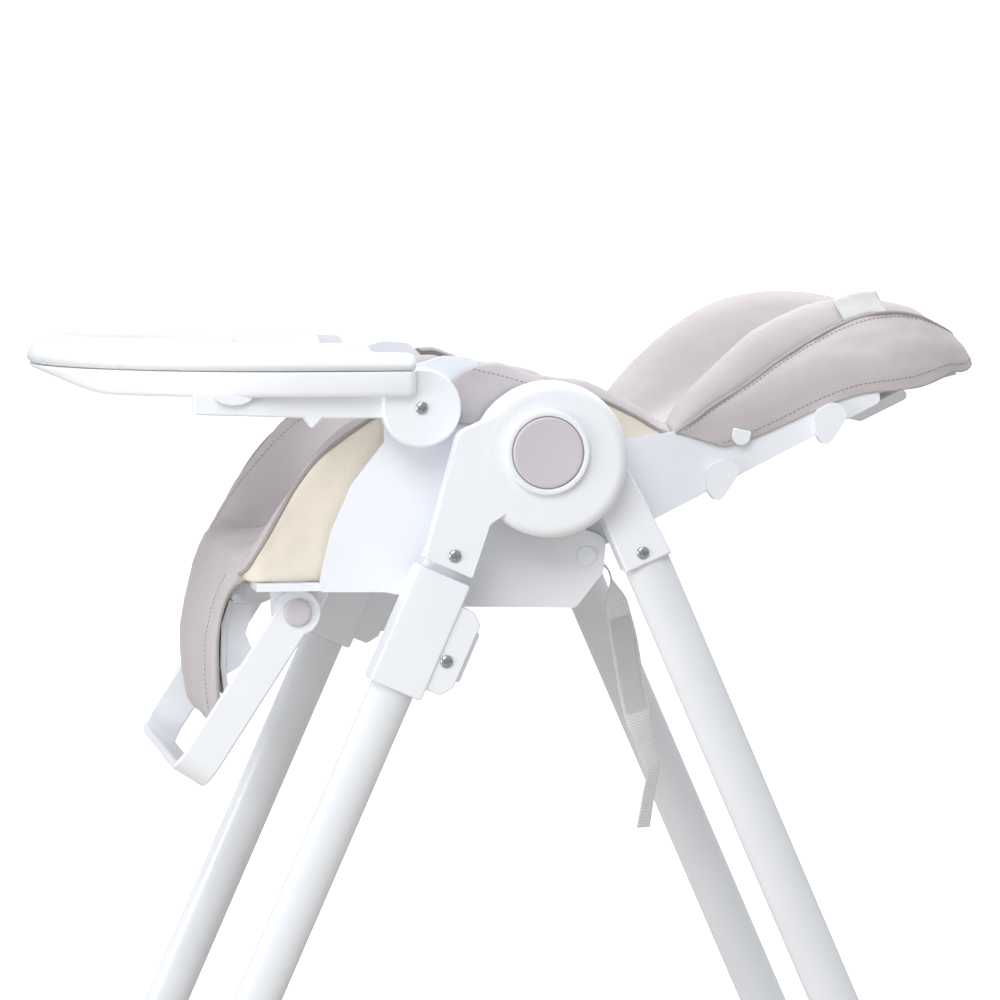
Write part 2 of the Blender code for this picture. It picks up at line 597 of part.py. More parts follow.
def harness(seat):
    """Lap straps and crotch strap lying on the cushion, and the buckle they meet in."""
    top = -0.0846
    thick = 0.0015
    prism("crotch_strap", [(-0.012, -0.190), (0.012, -0.190), (0.012, -0.1380), (-0.012, -0.1380)],
          top, top + thick, WEBBING, PLAN_VIEW, seat)
    for label, side in SIDES:
        strap = [(side * 0.1350, -0.0500), (side * 0.1350, -0.0740),
                 (side * 0.0280, -0.1240), (side * 0.0280, -0.1000)]
        prism("lap_strap_" + label, strap, top, top + thick, WEBBING, PLAN_VIEW, seat)
    shape = rounded([((-0.0275, -0.1377), 0.006), ((0.0275, -0.1377), 0.006),
                     ((0.0275, -0.0920), 0.010), ((-0.0275, -0.0920), 0.010)])
    soften(prism("buckle", shape, top, top + 0.015, BUCKLE, PLAN_VIEW, seat), 0.003)


def label_strap(seat):
    """Narrow strap with a sewn label, hanging behind the seat."""
    front = [(0.0530, -0.1180), (0.0760, -0.1120), (0.0930, -0.1200), (0.1000, -0.1450),
             (0.1100, -0.1900), (0.1200, -0.2480), (0.1330, -0.3000), (0.1400, -0.3200),
             (0.1360, -0.3480), (0.1300, -0.3850)]
    back = [(y + 0.0015, z + 0.0004) for y, z in reversed(front)]
    prism("label_strap", front + back, 0.045, 0.075, WEBBING, parent=seat)


# ---------------------------------------------------------------- reclining back
def back_shell(hinge):
    """Back plate with two side wings, hinge bosses and cover lugs, one moulding."""
    plate = [on_back(0.020, 0.0), on_back(0.330, 0.0), on_back(0.420, -0.022),
             on_back(0.420, -0.0155), on_back(0.330, 0.0075), on_back(0.020, 0.0075)]
    shell = prism("back_shell", plate, -0.130, 0.130, WHITE, parent=hinge)
    lower = [on_back(0.020, 0.0004), on_back(0.322, 0.0004), on_back(0.322, 0.0071),
             on_back(0.020, 0.0071)]
    join(shell, prism("lower_plate", lower, -0.190, 0.190, WHITE))
    wing = rounded([(on_back(-0.010, -0.0008), 0.0), (on_back(0.326, -0.0008), 0.006),
                    (on_back(0.330, 0.014), 0.006), (on_back(0.270, 0.034), 0.0),
                    (on_back(0.175, 0.044), 0.020), (on_back(0.133, 0.065), 0.0),
                    (on_back(0.079, 0.083), 0.010), (on_back(0.045, 0.060), 0.010),
                    (on_back(-0.012, 0.012), 0.0)])
    knob = [(on_back(0.172, 0.004), 0.008), (on_back(0.166, 0.022), 0.010),
            (on_back(0.142, 0.022), 0.010), (on_back(0.134, 0.002), 0.006),
            (on_back(0.136, -0.014), 0.006), (on_back(0.148, -0.010), 0.006)]
    shift = Vector(on_back(0.119)) - Vector(on_back(0.0))
    for label, side in SIDES:
        join(shell, side_prism("wing_" + label, wing, side, BACK_SIDE, WHITE))
        join(shell, rod("wing_boss_" + label, BACK_PIVOT, side, (BACK_SIDE[0] - 0.001, BACK_SIDE[1] - 0.0002),
                        0.0170, WHITE))
        for number, place in ((1, Vector((0.0, 0.0))), (2, shift)):
            corners = [(Vector(corner) + place, radius) for corner, radius in knob]
            join(shell, side_prism("lug_%s_%d" % (label, number), rounded(corners), side,
                                   (BACK_SIDE[1] - 0.003, 0.2040), WHITE))
        lug = rounded([(on_back(0.312, 0.002), 0.0), (on_back(0.314, -0.016), 0.006),
                       (on_back(0.330, -0.016), 0.006), (on_back(0.332, 0.002), 0.0)])
        join(shell, side_prism("handle_lug_" + label, lug, side, (0.0625, 0.0700), WHITE))
        cut(shell, rod("wing_bore_" + label, BACK_PIVOT, side, (0.1800, 0.2000), 0.0063, WHITE, sides=20))
        cut(shell, rod("handle_bore_" + label, on_back(0.322, -0.0095), side, (0.0600, 0.0720),
                       0.0027, WHITE, sides=12))
    return shell


def back_pad(hinge):
    """Back cushion with its wings, narrowing to the head."""
    stations = ((0.040, 0.046, 0.052), (0.100, 0.054, 0.066), (0.139, 0.057, 0.074),
                (0.175, 0.059, 0.086), (0.215, 0.062, 0.100), (0.255, 0.071, 0.113),
                (0.300, 0.080, 0.114), (0.330, 0.081, 0.104), (0.360, 0.077, 0.090),
                (0.390, 0.067, 0.074),
                (0.418, 0.047, 0.053), (0.433, 0.022, 0.026))
    rings = []
    for along, piping, crest in stations:
        half_width = 0.1868 - 0.040 * max(0.0, (along - 0.160) / 0.273) ** 2
        under = 0.0080 - 0.2556 * max(0.0, along - 0.330)
        middle = min(0.036, crest - 0.004)
        half = [(half_width, under), (half_width, piping), (half_width - 0.018, crest),
                (half_width - 0.040, max(middle + 0.001, crest * 0.72)), (half_width - 0.058, middle)]
        ring = []
        for x, out in half:
            ring.append((x, *on_back(along, out)))
        for x, out in reversed(half):
            ring.append((-x, *on_back(along, out)))
        rings.append(ring)
    return loft("back_pad", rings, LEATHER, hinge)


def recline_handle(hinge):
    """Squeeze handle under the head end of the back."""
    axis = pivot("recline_handle_axis", on_back(0.322, -0.0095))
    grip = rounded([(on_back(0.326, -0.0310), 0.005), (on_back(0.382, -0.0320), 0.005),
                    (on_back(0.382, -0.0215), 0.004), (on_back(0.332, -0.0205), 0.0),
                    (on_back(0.3255, -0.0070), 0.0), (on_back(0.3185, -0.0105), 0.0)])
    handle = prism("recline_handle", grip, -0.060, 0.060, WHITE, parent=axis)
    join(handle, rod("handle_barrel", on_back(0.322, -0.0095), 1.0, (-0.0615, 0.0615), 0.0052, WHITE,
                     sides=20))
    join(handle, rod("handle_pin", on_back(0.322, -0.0095), 1.0, (-0.0690, 0.0690), 0.0025, WHITE,
                     sides=12))
    axis.parent = hinge
    axis.location -= hinge.location


def reclining_back(seat):
    hinge = pivot("back_axis", BACK_PIVOT)
    back_shell(hinge)
    back_pad(hinge)
    recline_handle(hinge)
    for label, side in SIDES:
        pin = rod("back_pin_" + label, BACK_PIVOT, side, (0.1885, 0.2070), 0.0060, STEEL, seat, sides=20)
        join(pin, rod("back_pin_head_" + label, BACK_PIVOT, side, (PANEL[1] + CLEARANCE, 0.2075),
                      0.0090, STEEL, sides=20))
    hinge.parent = seat
    hinge.location -= seat.location


# ---------------------------------------------------------------- tray
def tray_plan(inset, rear, corner):
    """Plan of the tray: round front, straight sides, and a hollow for the child's waist."""
    half = TRAY_HALF - inset
    reach = TRAY_REACH - inset
    waist = 0.120 + inset
    depth = 0.095 + inset
    front = []
    for step in range(25):
        angle = pi + pi * step / 24
        front.append(((half * cos(angle), TRAY_CENTRE_Y + reach * sin(angle)), 0.0))
    rear_edge = [((half, rear), corner), ((waist + 0.010, rear), 0.010)]
    for step in range(1, 8):
        angle = pi * step / 8
        rear_edge.append(((waist * cos(angle), rear - depth * sin(angle)), 0.0))
    rear_edge += [((-waist - 0.010, rear), 0.010), ((-half, rear), corner)]
    return rounded(front + rear_edge)


def tray_arm(label, side, lift):
    """Tray arm: a flat bar that ends in the round eye of the tray's hinge."""
    name = "tray_arm_" + label
    bar = rounded([((-0.3353, 0.0436), 0.002), ((-0.2320, 0.0400), 0.0), ((-0.2240, 0.0290), 0.003),
                   ((-0.2140, 0.0395), 0.0), ((-0.1300, 0.0390), 0.0), ((-0.1300, 0.0640), 0.0),
                   ((-0.3353, 0.0640), 0.002)])
    arm = soften(side_prism(name, bar, side, ARM, WHITE, lift), 0.0015, 1)
    eye = soften(rod(name + "_eye", TRAY_PIVOT, side, (0.2247, 0.2465), TRAY_DISC_RADIUS, WHITE,
                     sides=32), 0.002, 1)
    join(arm, eye)
    return cut(arm, rod(name + "_bore", TRAY_PIVOT, side, (0.21, 0.26), 0.0033, WHITE, sides=16))


def tray_base(slide):
    """Lower tray, notched for the hinge eyes, with a rail inside each arm."""
    base = prism("tray_base", tray_plan(0.006, -0.127, 0.010), TRAY_BOTTOM, TRAY_MIDDLE, WHITE,
                 PLAN_VIEW, slide)
    soften(base, 0.004, 1)
    cut(base, block("base_waist", (-0.2498, -0.1750, 0.05), (0.2498, -0.10, 0.10), WHITE))
    for label, side in SIDES:
        rail = block("rail_" + label, (side * 0.2190, -0.3300, 0.0510), (side * 0.2255, -0.1850, 0.0660),
                     WHITE)
        join(base, rail)
    return base


def tray_top(lift_off):
    """Loose upper tray: a dish with a raised rim and a round cup hollow."""
    top = prism("tray_top", tray_plan(0.0, -0.1275, 0.012), TRAY_MIDDLE + CLEARANCE, TRAY_TOP, WHITE,
                PLAN_VIEW, lift_off)
    soften(top, 0.005, 1)
    cut(top, block("top_waist", (-0.2498, -0.1700, 0.05), (0.2498, -0.10, 0.12), WHITE))
    dish = tray_plan(0.014, -0.1850, 0.014)
    return cut(top, prism("dish_space", dish, TRAY_MIDDLE + 0.0035, TRAY_TOP + 0.02, WHITE, PLAN_VIEW))


def tray_tab(label, side, slide):
    """Half-round release tab under the tray, outside the arm."""
    axis = pivot("tray_tab_axis_" + label, (-0.298, 0.060))
    outline = [(-0.2790, 0.0640)] + [(-0.298 + 0.019 * cos(radians(a)), 0.0630 + 0.0105 * sin(radians(a)))
                                     for a in range(0, -181, -15)] + [(-0.3170, 0.0640)]
    side_prism("tray_tab_" + label, outline, side, (0.2425, 0.2470), WHITE, parent=axis)
    axis.parent = slide
    axis.location -= slide.location


def tray(seat):
    lift = pivot("tray_lift_axis", TRAY_PIVOT)
    slide = pivot("tray_slide_axis", (-0.230, TRAY_BOTTOM))
    loose = pivot("tray_top_axis", (-0.230, TRAY_MIDDLE))
    for label, side in SIDES:
        tray_arm(label, side, lift)
        tray_tab(label, side, slide)
        screw("tray_hinge_screw_" + label, TRAY_PIVOT, side, 0.2465, seat, 0.038)
    tray_base(slide)
    tray_top(loose)
    loose.parent = slide
    loose.location -= slide.location
    slide.parent = lift
    slide.location -= lift.location
    lift.parent = seat
    lift.location -= seat.location


def sliding_seat():
    seat = pivot("seat_slide_axis", on_front_leg(SLEEVE[0]))
    seat_shell(seat)
    for label, side in SIDES:
        height_slider(label, side, seat)
        height_button(label, side, seat)
        screw("slider_screw_" + label, on_front_leg(0.192, 0.0340), side, 0.2590, seat, 0.003)
    seat_pad(seat)
    leg_rest(seat)
    footrest(seat)
    harness(seat)
    label_strap(seat)
    reclining_back(seat)
    tray(seat)


leg_frames()
sliding_seat()
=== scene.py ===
"""Looks of a folding baby high chair: moulded shells, powder-coated tubes, a stitched leatherette
cover with piping, a harness and a hanging strap, built around the chair's fixed frame of parts."""

import json
from math import atan, cos, exp, fsum, pi, radians, sin, tan

import bmesh
import bpy
from mathutils import Matrix, Vector, noise
from mathutils.bvhtree import BVHTree
from mathutils.kdtree import KDTree

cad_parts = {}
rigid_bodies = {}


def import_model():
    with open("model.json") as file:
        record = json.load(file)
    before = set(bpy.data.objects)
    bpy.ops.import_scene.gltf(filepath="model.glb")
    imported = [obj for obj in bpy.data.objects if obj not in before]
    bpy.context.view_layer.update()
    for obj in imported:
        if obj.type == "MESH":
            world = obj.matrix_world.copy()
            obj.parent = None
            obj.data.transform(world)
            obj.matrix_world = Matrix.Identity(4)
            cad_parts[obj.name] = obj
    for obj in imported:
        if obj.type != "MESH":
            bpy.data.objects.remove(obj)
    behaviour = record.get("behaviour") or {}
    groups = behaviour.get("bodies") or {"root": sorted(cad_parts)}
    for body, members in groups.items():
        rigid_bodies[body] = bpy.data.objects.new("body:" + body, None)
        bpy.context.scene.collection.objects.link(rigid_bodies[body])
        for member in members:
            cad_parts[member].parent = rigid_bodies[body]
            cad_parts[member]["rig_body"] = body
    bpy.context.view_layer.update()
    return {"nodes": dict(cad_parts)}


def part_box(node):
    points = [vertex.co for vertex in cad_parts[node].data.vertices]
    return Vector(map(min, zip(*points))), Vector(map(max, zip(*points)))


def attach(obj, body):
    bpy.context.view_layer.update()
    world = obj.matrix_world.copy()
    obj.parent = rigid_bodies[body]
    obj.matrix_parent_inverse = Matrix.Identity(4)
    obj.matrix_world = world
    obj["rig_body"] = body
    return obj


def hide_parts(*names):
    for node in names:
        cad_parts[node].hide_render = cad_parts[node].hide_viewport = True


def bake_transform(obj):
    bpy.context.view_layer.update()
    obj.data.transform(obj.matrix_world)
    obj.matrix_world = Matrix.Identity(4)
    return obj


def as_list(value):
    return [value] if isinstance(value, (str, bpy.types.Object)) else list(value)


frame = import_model()

bl_info = {
    "name": "Baby high chair looks",
    "version": (1, 0, 0),
    "blender": (4, 5, 0),
    "location": "View3D > Sidebar > High Chair",
    "description": "Builds the covers, mouldings and finishes of a folding high chair",
    "category": "Object",
}

SIDES = (("left", 1.0), ("right", -1.0))
BACK_LEAN = radians(26.4)            # the reclined back above the level
BACK_PIVOT = (0.044, -0.096)         # its hinge, in side view from the fold axis
HUB_RADIUS = 0.074
RECESS = (-0.005, 0.007)             # middle of the hollow in the hub's face
FRONT_LEAN = atan(0.441)             # front legs from the vertical
FRONT_START = -0.0536                # where their axis meets the level of the fold axis
SOCKET_END = 0.1104                  # the sockets end this far down their leg
HALF_WIDTH = 0.1865                  # the cover's, at its piping


# ---------------------------------------------------------------- places
def middle_of(node):
    low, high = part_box(node)
    return (low + high) / 2


FOLD_AXIS = middle_of("hub_pin_left")


def at(y, z, x=0.0):
    """A place given in side view from the fold axis, y to the rear and z up."""
    return Vector((x, FOLD_AXIS.y + y, FOLD_AXIS.z + z))


def on_back(along, out):
    """A side-view place along the reclined back from its hinge, and out towards the child."""
    return (BACK_PIVOT[0] + along * cos(BACK_LEAN) - out * sin(BACK_LEAN),
            BACK_PIVOT[1] + along * sin(BACK_LEAN) + out * cos(BACK_LEAN))


def on_front_leg(down, back=0.0):
    """A side-view place down the front leg from the level of the fold axis, and behind its axis."""
    return (FRONT_START - down * sin(FRONT_LEAN) + back * cos(FRONT_LEAN),
            -down * cos(FRONT_LEAN) - back * sin(FRONT_LEAN))


def mix(near, far, share):
    return near + (far - near) * share


def ramp(value, start, end):
    """0 at start and 1 at end, eased at both."""
    share = min(max((value - start) / (end - start), 0.0), 1.0)
    return share * share * (3 - 2 * share)


def through(before, near, far, after, share):
    """A place between near and far on a smooth curve through four places."""
    knots = [0.0]
    for start, end in ((before, near), (near, far), (far, after)):
        knots.append(knots[-1] + max((end - start).length, 1e-6) ** 0.5)
    time = mix(knots[1], knots[2], share)

    def between(first, second, start, end):
        return mix(first, second, (time - knots[start]) / (knots[end] - knots[start]))

    one = between(before, near, 0, 1)
    two = between(near, far, 1, 2)
    three = between(far, after, 2, 3)
    return between(between(one, two, 0, 2), between(two, three, 1, 3), 1, 2)


def mirrored(places):
    return [Vector((-place.x, place.y, place.z)) for place in places]


def length_of(places):
    return sum((far - near).length for near, far in zip(places, places[1:]))


def smooth_line(guides, steps, closed=False):
    """Places on a smooth curve through guides, with so many steps between two of them."""
    count = len(guides)
    found = []
    for span in range(count if closed else count - 1):
        near, far = guides[span], guides[(span + 1) % count]
        if closed:
            before, after = guides[span - 1], guides[(span + 2) % count]
        else:
            before = guides[span - 1] if span else near * 2 - far
            after = guides[span + 2] if span + 2 < count else far * 2 - near
        found += [through(before, near, far, after, step / steps) for step in range(steps)]
    found.append((guides[0] if closed else guides[-1]).copy())
    return found


def even_line(places, spacing):
    """The same line with its places evenly apart."""
    kept = [places[0].copy()]
    left = spacing
    for near, far in zip(places, places[1:]):
        run = (far - near).length
        done = 0.0
        while run - done >= left > 0:
            done += left
            kept.append(mix(near, far, done / run))
            left = spacing
        left -= run - done
    return kept


def rounded(corners, steps=4):
    """An outline through (place, radius) corners, each turned with an arc of its radius."""
    outline = []
    count = len(corners)
    for index, (place, radius) in enumerate(corners):
        here = Vector(place)
        if radius == 0.0:
            outline.append(here)
            continue
        before = (Vector(corners[index - 1][0]) - here).normalized()
        after = (Vector(corners[(index + 1) % count][0]) - here).normalized()
        half = before.angle(after) / 2
        centre = here + (before + after).normalized() * radius / sin(half)
        start = here + before * radius / tan(half) - centre
        turn = (pi - 2 * half) * (1.0 if before.cross(after) < 0 else -1.0)
        for step in range(steps + 1):
            outline.append(centre + Matrix.Rotation(turn * step / steps, 2) @ start)
    return outline


def arc(centre, radius, start, end, steps):
    """Places on an arc, angles in degrees."""
    turns = [radians(start + (end - start) * step / steps) for step in range(steps + 1)]
    return [Vector((centre[0] + radius * cos(turn), centre[1] + radius * sin(turn)))
            for turn in turns]


# ---------------------------------------------------------------- finishes
def linear(hex_code):
    """An sRGB hex colour as linear RGBA."""
    channels = [int(hex_code[start:start + 2], 16) / 255 for start in (1, 3, 5)]
    return tuple(level / 12.92 if level <= 0.04045 else ((level + 0.055) / 1.055) ** 2.4
                 for level in channels) + (1.0,)


def add_node(finish, kind, inputs=None, links=None, **settings):
    """Adds a node with its settings and input values; links name the sockets that feed it."""
    tree = finish.node_tree
    node = tree.nodes.new(kind)
    for name, value in settings.items():
        setattr(node, name, value)
    for name, value in (inputs or {}).items():
        node.inputs[name].default_value = value
    for name, socket in (links or {}).items():
        tree.links.new(socket, node.inputs[name])
    return node


def new_finish(name, colour, roughness, **sockets):
    """A material whose shader has the given constant sockets; an underscore in a socket's name
    stands for a space."""
    finish = bpy.data.materials.new(name)
    finish.use_nodes = True
    shader = finish.node_tree.nodes["Principled BSDF"]
    shader.inputs["Base Color"].default_value = colour
    shader.inputs["Roughness"].default_value = roughness
    for socket, value in sockets.items():
        shader.inputs[socket.replace("_", " ")].default_value = value
    finish.diffuse_color = colour
    return finish, shader


def tint(finish, shader, mask, low, high, light, dark):
    """Lets a mask run the colour from light to dark between two of its values."""
    ramp = add_node(finish, "ShaderNodeValToRGB", links={"Fac": mask})
    ramp.color_ramp.elements[0].position = low
    ramp.color_ramp.elements[0].color = light
    ramp.color_ramp.elements[1].position = high
    ramp.color_ramp.elements[1].color = dark
    finish.node_tree.links.new(ramp.outputs["Color"], shader.inputs["Base Color"])


def relief(finish, shader, height, distance, strength=1.0):
    """A bump of the given height in metres."""
    bump = add_node(finish, "ShaderNodeBump", inputs={"Distance": distance, "Strength": strength},
                    links={"Height": height})
    finish.node_tree.links.new(bump.outputs["Normal"], shader.inputs["Normal"])


def scaled(colour, factor):
    return tuple(channel * factor for channel in colour[:3]) + (1.0,)


def uneven_gloss(finish, shader, mask, low, high):
    gloss = add_node(finish, "ShaderNodeMapRange", inputs={"To Min": low, "To Max": high},
                     links={"Value": mask})
    finish.node_tree.links.new(gloss.outputs["Result"], shader.inputs["Roughness"])


def chosen_colours():
    return bpy.context.scene.high_chair_finishes


def moulded_white():
    """Injection-moulded ABS: an even cool white, a soft gloss and a faint spark-eroded grain."""
    colour = chosen_colours().white
    finish, shader = new_finish("moulded_abs_white", colour, 0.32, IOR=1.53, Specular_IOR_Level=0.5)
    place = add_node(finish, "ShaderNodeTexCoord").outputs["Object"]
    cloud = add_node(finish, "ShaderNodeTexNoise", inputs={"Scale": 14.0, "Detail": 2.0},
                     links={"Vector": place})
    tint(finish, shader, cloud.outputs["Fac"], 0.30, 0.75, colour, scaled(colour, 0.965))
    uneven_gloss(finish, shader, cloud.outputs["Fac"], 0.27, 0.37)
    # grain of about 0.9 mm, drawn coarser than the real 0.2 mm so that it shows
    grain = add_node(finish, "ShaderNodeTexNoise", inputs={"Scale": 1100.0, "Detail": 2.0},
                     links={"Vector": place})
    relief(finish, shader, grain.outputs["Fac"], 0.00006)
    return finish


def powder_coat():
    """Powder-coated steel tube: glossy white with the slight orange peel of a baked coat."""
    colour = chosen_colours().tube_white
    finish, shader = new_finish("powder_coated_steel", colour, 0.24, IOR=1.5, Coat_Weight=0.35,
                                Coat_Roughness=0.12)
    place = add_node(finish, "ShaderNodeTexCoord").outputs["Object"]
    peel = add_node(finish, "ShaderNodeTexNoise", inputs={"Scale": 420.0, "Detail": 1.0},
                    links={"Vector": place})
    cloud = add_node(finish, "ShaderNodeTexNoise", inputs={"Scale": 9.0, "Detail": 3.0},
                     links={"Vector": place})
    tint(finish, shader, cloud.outputs["Fac"], 0.30, 0.75, colour, scaled(colour, 0.95))
    uneven_gloss(finish, shader, peel.outputs["Fac"], 0.19, 0.30)
    relief(finish, shader, peel.outputs["Fac"], 0.00010)
    return finish


def clear_tray():
    """Frosted polypropylene of the loose tray: milky, a little see-through, with a soft shine."""
    colour = chosen_colours().tray_white
    finish, shader = new_finish("frosted_polypropylene", colour, 0.26, IOR=1.49,
                                Transmission_Weight=0.12, Subsurface_Weight=0.25,
                                Subsurface_Scale=0.02)
    place = add_node(finish, "ShaderNodeTexCoord").outputs["Object"]
    cloud = add_node(finish, "ShaderNodeTexNoise", inputs={"Scale": 10.0, "Detail": 2.0},
                     links={"Vector": place})
    tint(finish, shader, cloud.outputs["Fac"], 0.30, 0.75, colour, scaled(colour, 0.96))
    uneven_gloss(finish, shader, cloud.outputs["Fac"], 0.22, 0.34)
    grain = add_node(finish, "ShaderNodeTexNoise", inputs={"Scale": 900.0, "Detail": 2.0},
                     links={"Vector": place})
    relief(finish, shader, grain.outputs["Fac"], 0.00005)
    return finish


def taupe_abs():
    """Matt taupe ABS of the round buttons and caps, with a fine sparkle in its moulded texture."""
    colour = chosen_colours().taupe_plastic
    finish, shader = new_finish("moulded_abs_taupe", colour, 0.42, IOR=1.53)
    place = add_node(finish, "ShaderNodeTexCoord").outputs["Object"]
    grain = add_node(finish, "ShaderNodeTexNoise", inputs={"Scale": 1300.0, "Detail": 3.0},
                     links={"Vector": place})
    tint(finish, shader, grain.outputs["Fac"], 0.35, 0.70, colour, scaled(colour, 0.93))
    uneven_gloss(finish, shader, grain.outputs["Fac"], 0.34, 0.50)
    relief(finish, shader, grain.outputs["Fac"], 0.00008)
    return finish


def leatherette(name, colour, dark_share, sheen=0.25):
    """Polyurethane leather on a knit: pebbled grain of 1 to 2 mm with finer pores, soft low gloss,
    and painted shade that makes the valleys of the grain slightly darker."""
    finish, shader = new_finish(name, colour, 0.58, IOR=1.45, Sheen_Weight=sheen,
                                Sheen_Roughness=0.45)
    place = add_node(finish, "ShaderNodeTexCoord").outputs["Object"]
    warp = add_node(finish, "ShaderNodeTexNoise", inputs={"Scale": 260.0, "Detail": 2.0},
                    links={"Vector": place})
    bend = add_node(finish, "ShaderNodeVectorMath", operation="MULTIPLY_ADD",
                    inputs={1: (0.0016, 0.0016, 0.0016)},
                    links={0: warp.outputs["Color"], 2: place})
    pebble = add_node(finish, "ShaderNodeTexVoronoi", feature="DISTANCE_TO_EDGE",
                      inputs={"Scale": 620.0}, links={"Vector": bend.outputs["Vector"]})
    pores = add_node(finish, "ShaderNodeTexNoise", inputs={"Scale": 2600.0, "Detail": 2.0},
                     links={"Vector": place})
    cloud = add_node(finish, "ShaderNodeTexNoise", inputs={"Scale": 16.0, "Detail": 4.0},
                     links={"Vector": place})
    valley = add_node(finish, "ShaderNodeMapRange", inputs={"From Max": 0.16},
                      links={"Value": pebble.outputs["Distance"]})
    height = add_node(finish, "ShaderNodeMath", operation="MULTIPLY_ADD", inputs={1: 0.25},
                      links={0: pores.outputs["Fac"], 2: valley.outputs["Result"]})
    # painted shade: the grain's valleys, where the bump dips, are tinted darker, over random tone
    # from the cloud
    shade = add_node(finish, "ShaderNodeMath", operation="MULTIPLY_ADD", inputs={1: -0.35},
                     links={0: valley.outputs["Result"], 2: cloud.outputs["Fac"]})
    tint(finish, shader, shade.outputs["Value"], 0.0, 0.60, colour, scaled(colour, dark_share))
    uneven_gloss(finish, shader, cloud.outputs["Fac"], 0.50, 0.66)
    relief(finish, shader, height.outputs["Value"], 0.00012)
    return finish


def taupe_leather():
    return leatherette("pu_leather_taupe", chosen_colours().taupe_leather, 0.90)


def cream_leather():
    return leatherette("pu_leather_cream", chosen_colours().cream_leather, 0.94)


def piping_leather():
    return leatherette("pu_leather_piping", chosen_colours().piping, 0.88)


def lining_cloth():
    """Brushed polyester knit under the cover: matt, off-white, with fine ribs along the weave."""
    finish, shader = new_finish("brushed_polyester_lining", linear("#D8D3CB"), 0.85,
                                Sheen_Weight=0.4)
    place = add_node(finish, "ShaderNodeTexCoord").outputs["Object"]
    ribs = add_node(finish, "ShaderNodeTexWave", bands_direction="X",
                    inputs={"Scale": 160.0, "Distortion": 1.5, "Detail": 1.0},
                    links={"Vector": place})
    tint(finish, shader, ribs.outputs["Fac"], 0.2, 0.9, linear("#DDD8D0"), linear("#C9C3BA"))
    relief(finish, shader, ribs.outputs["Fac"], 0.00020)
    return finish


def woven(name, colour, rib, roughness=0.7, valley=0.80):
    """Flat woven polyester: cross ribs along the strap and finer warp threads across it."""
    finish, shader = new_finish(name, colour, roughness, Sheen_Weight=0.3, Sheen_Roughness=0.4)
    place = add_node(finish, "ShaderNodeUVMap").outputs["UV"]
    # the strap's UV map is in metres, so a wave of scale s has a band every 0.314 / s metres
    weft = add_node(finish, "ShaderNodeTexWave", bands_direction="Y",
                    inputs={"Scale": 0.314 / rib, "Distortion": 0.4, "Detail": 1.0},
                    links={"Vector": place})
    warp = add_node(finish, "ShaderNodeTexWave", bands_direction="X",
                    inputs={"Scale": 0.314 / (rib * 0.6), "Distortion": 0.3},
                    links={"Vector": place})
    both = add_node(finish, "ShaderNodeMath", operation="MULTIPLY_ADD", inputs={1: 0.45},
                    links={0: warp.outputs["Fac"], 2: weft.outputs["Fac"]})
    # painted shade: the troughs of the weave, where the bump dips, are tinted darker by the share
    # valley
    tint(finish, shader, both.outputs["Value"], 0.15, 1.1, scaled(colour, valley), colour)
    relief(finish, shader, both.outputs["Value"], 0.00035)
    return finish


def harness_webbing():
    return woven("polyester_webbing", chosen_colours().webbing, 0.0016)


def strap_tape():
    return woven("woven_nylon_tape", chosen_colours().strap, 0.0030, 0.55, 0.90)


def satin_label():
    return woven("satin_label_ribbon", linear("#FCFDFF"), 0.0009, 0.40, 0.95)


def sewing_thread():
    """Bonded polyester thread: matt taupe with a slight sheen."""
    colour = chosen_colours().thread
    finish, shader = new_finish("polyester_thread", colour, 0.55, Sheen_Weight=0.5)
    place = add_node(finish, "ShaderNodeTexCoord").outputs["Object"]
    twist = add_node(finish, "ShaderNodeTexWave", bands_direction="DIAGONAL",
                     inputs={"Scale": 700.0}, links={"Vector": place})
    tint(finish, shader, twist.outputs["Fac"], 0.1, 0.9, scaled(colour, 0.85), colour)
    return finish


def white_thread():
    """White polyester thread of the webbing's bar tacks."""
    finish, shader = new_finish("white_polyester_thread", linear("#ECEBE8"), 0.55, Sheen_Weight=0.5)
    place = add_node(finish, "ShaderNodeTexCoord").outputs["Object"]
    twist = add_node(finish, "ShaderNodeTexWave", bands_direction="DIAGONAL",
                     inputs={"Scale": 700.0}, links={"Vector": place})
    tint(finish, shader, twist.outputs["Fac"], 0.1, 0.9, linear("#D9D7D2"), linear("#EFEEEA"))
    return finish


def buckle_acetal():
    """Moulded acetal buckle: warm grey, low gloss, fine texture."""
    colour = chosen_colours().buckle
    finish, shader = new_finish("moulded_acetal_grey", colour, 0.38, IOR=1.48)
    place = add_node(finish, "ShaderNodeTexCoord").outputs["Object"]
    grain = add_node(finish, "ShaderNodeTexNoise", inputs={"Scale": 1500.0, "Detail": 2.0},
                     links={"Vector": place})
    tint(finish, shader, grain.outputs["Fac"], 0.3, 0.7, colour, scaled(colour, 0.90))
    uneven_gloss(finish, shader, grain.outputs["Fac"], 0.30, 0.46)
    relief(finish, shader, grain.outputs["Fac"], 0.00008)
    return finish


def zinc_steel():
    """Bright zinc-plated steel: clear metal shine with fine drawn marks."""
    finish, shader = new_finish("zinc_plated_steel", linear("#B9BCC0"), 0.24, Metallic=1.0)
    place = add_node(finish, "ShaderNodeTexCoord").outputs["Object"]
    marks = add_node(finish, "ShaderNodeTexNoise", inputs={"Scale": 900.0, "Detail": 3.0},
                     links={"Vector": place})
    tint(finish, shader, marks.outputs["Fac"], 0.3, 0.7, linear("#C9CCD0"), linear("#9EA2A8"))
    uneven_gloss(finish, shader, marks.outputs["Fac"], 0.16, 0.32)
    return finish


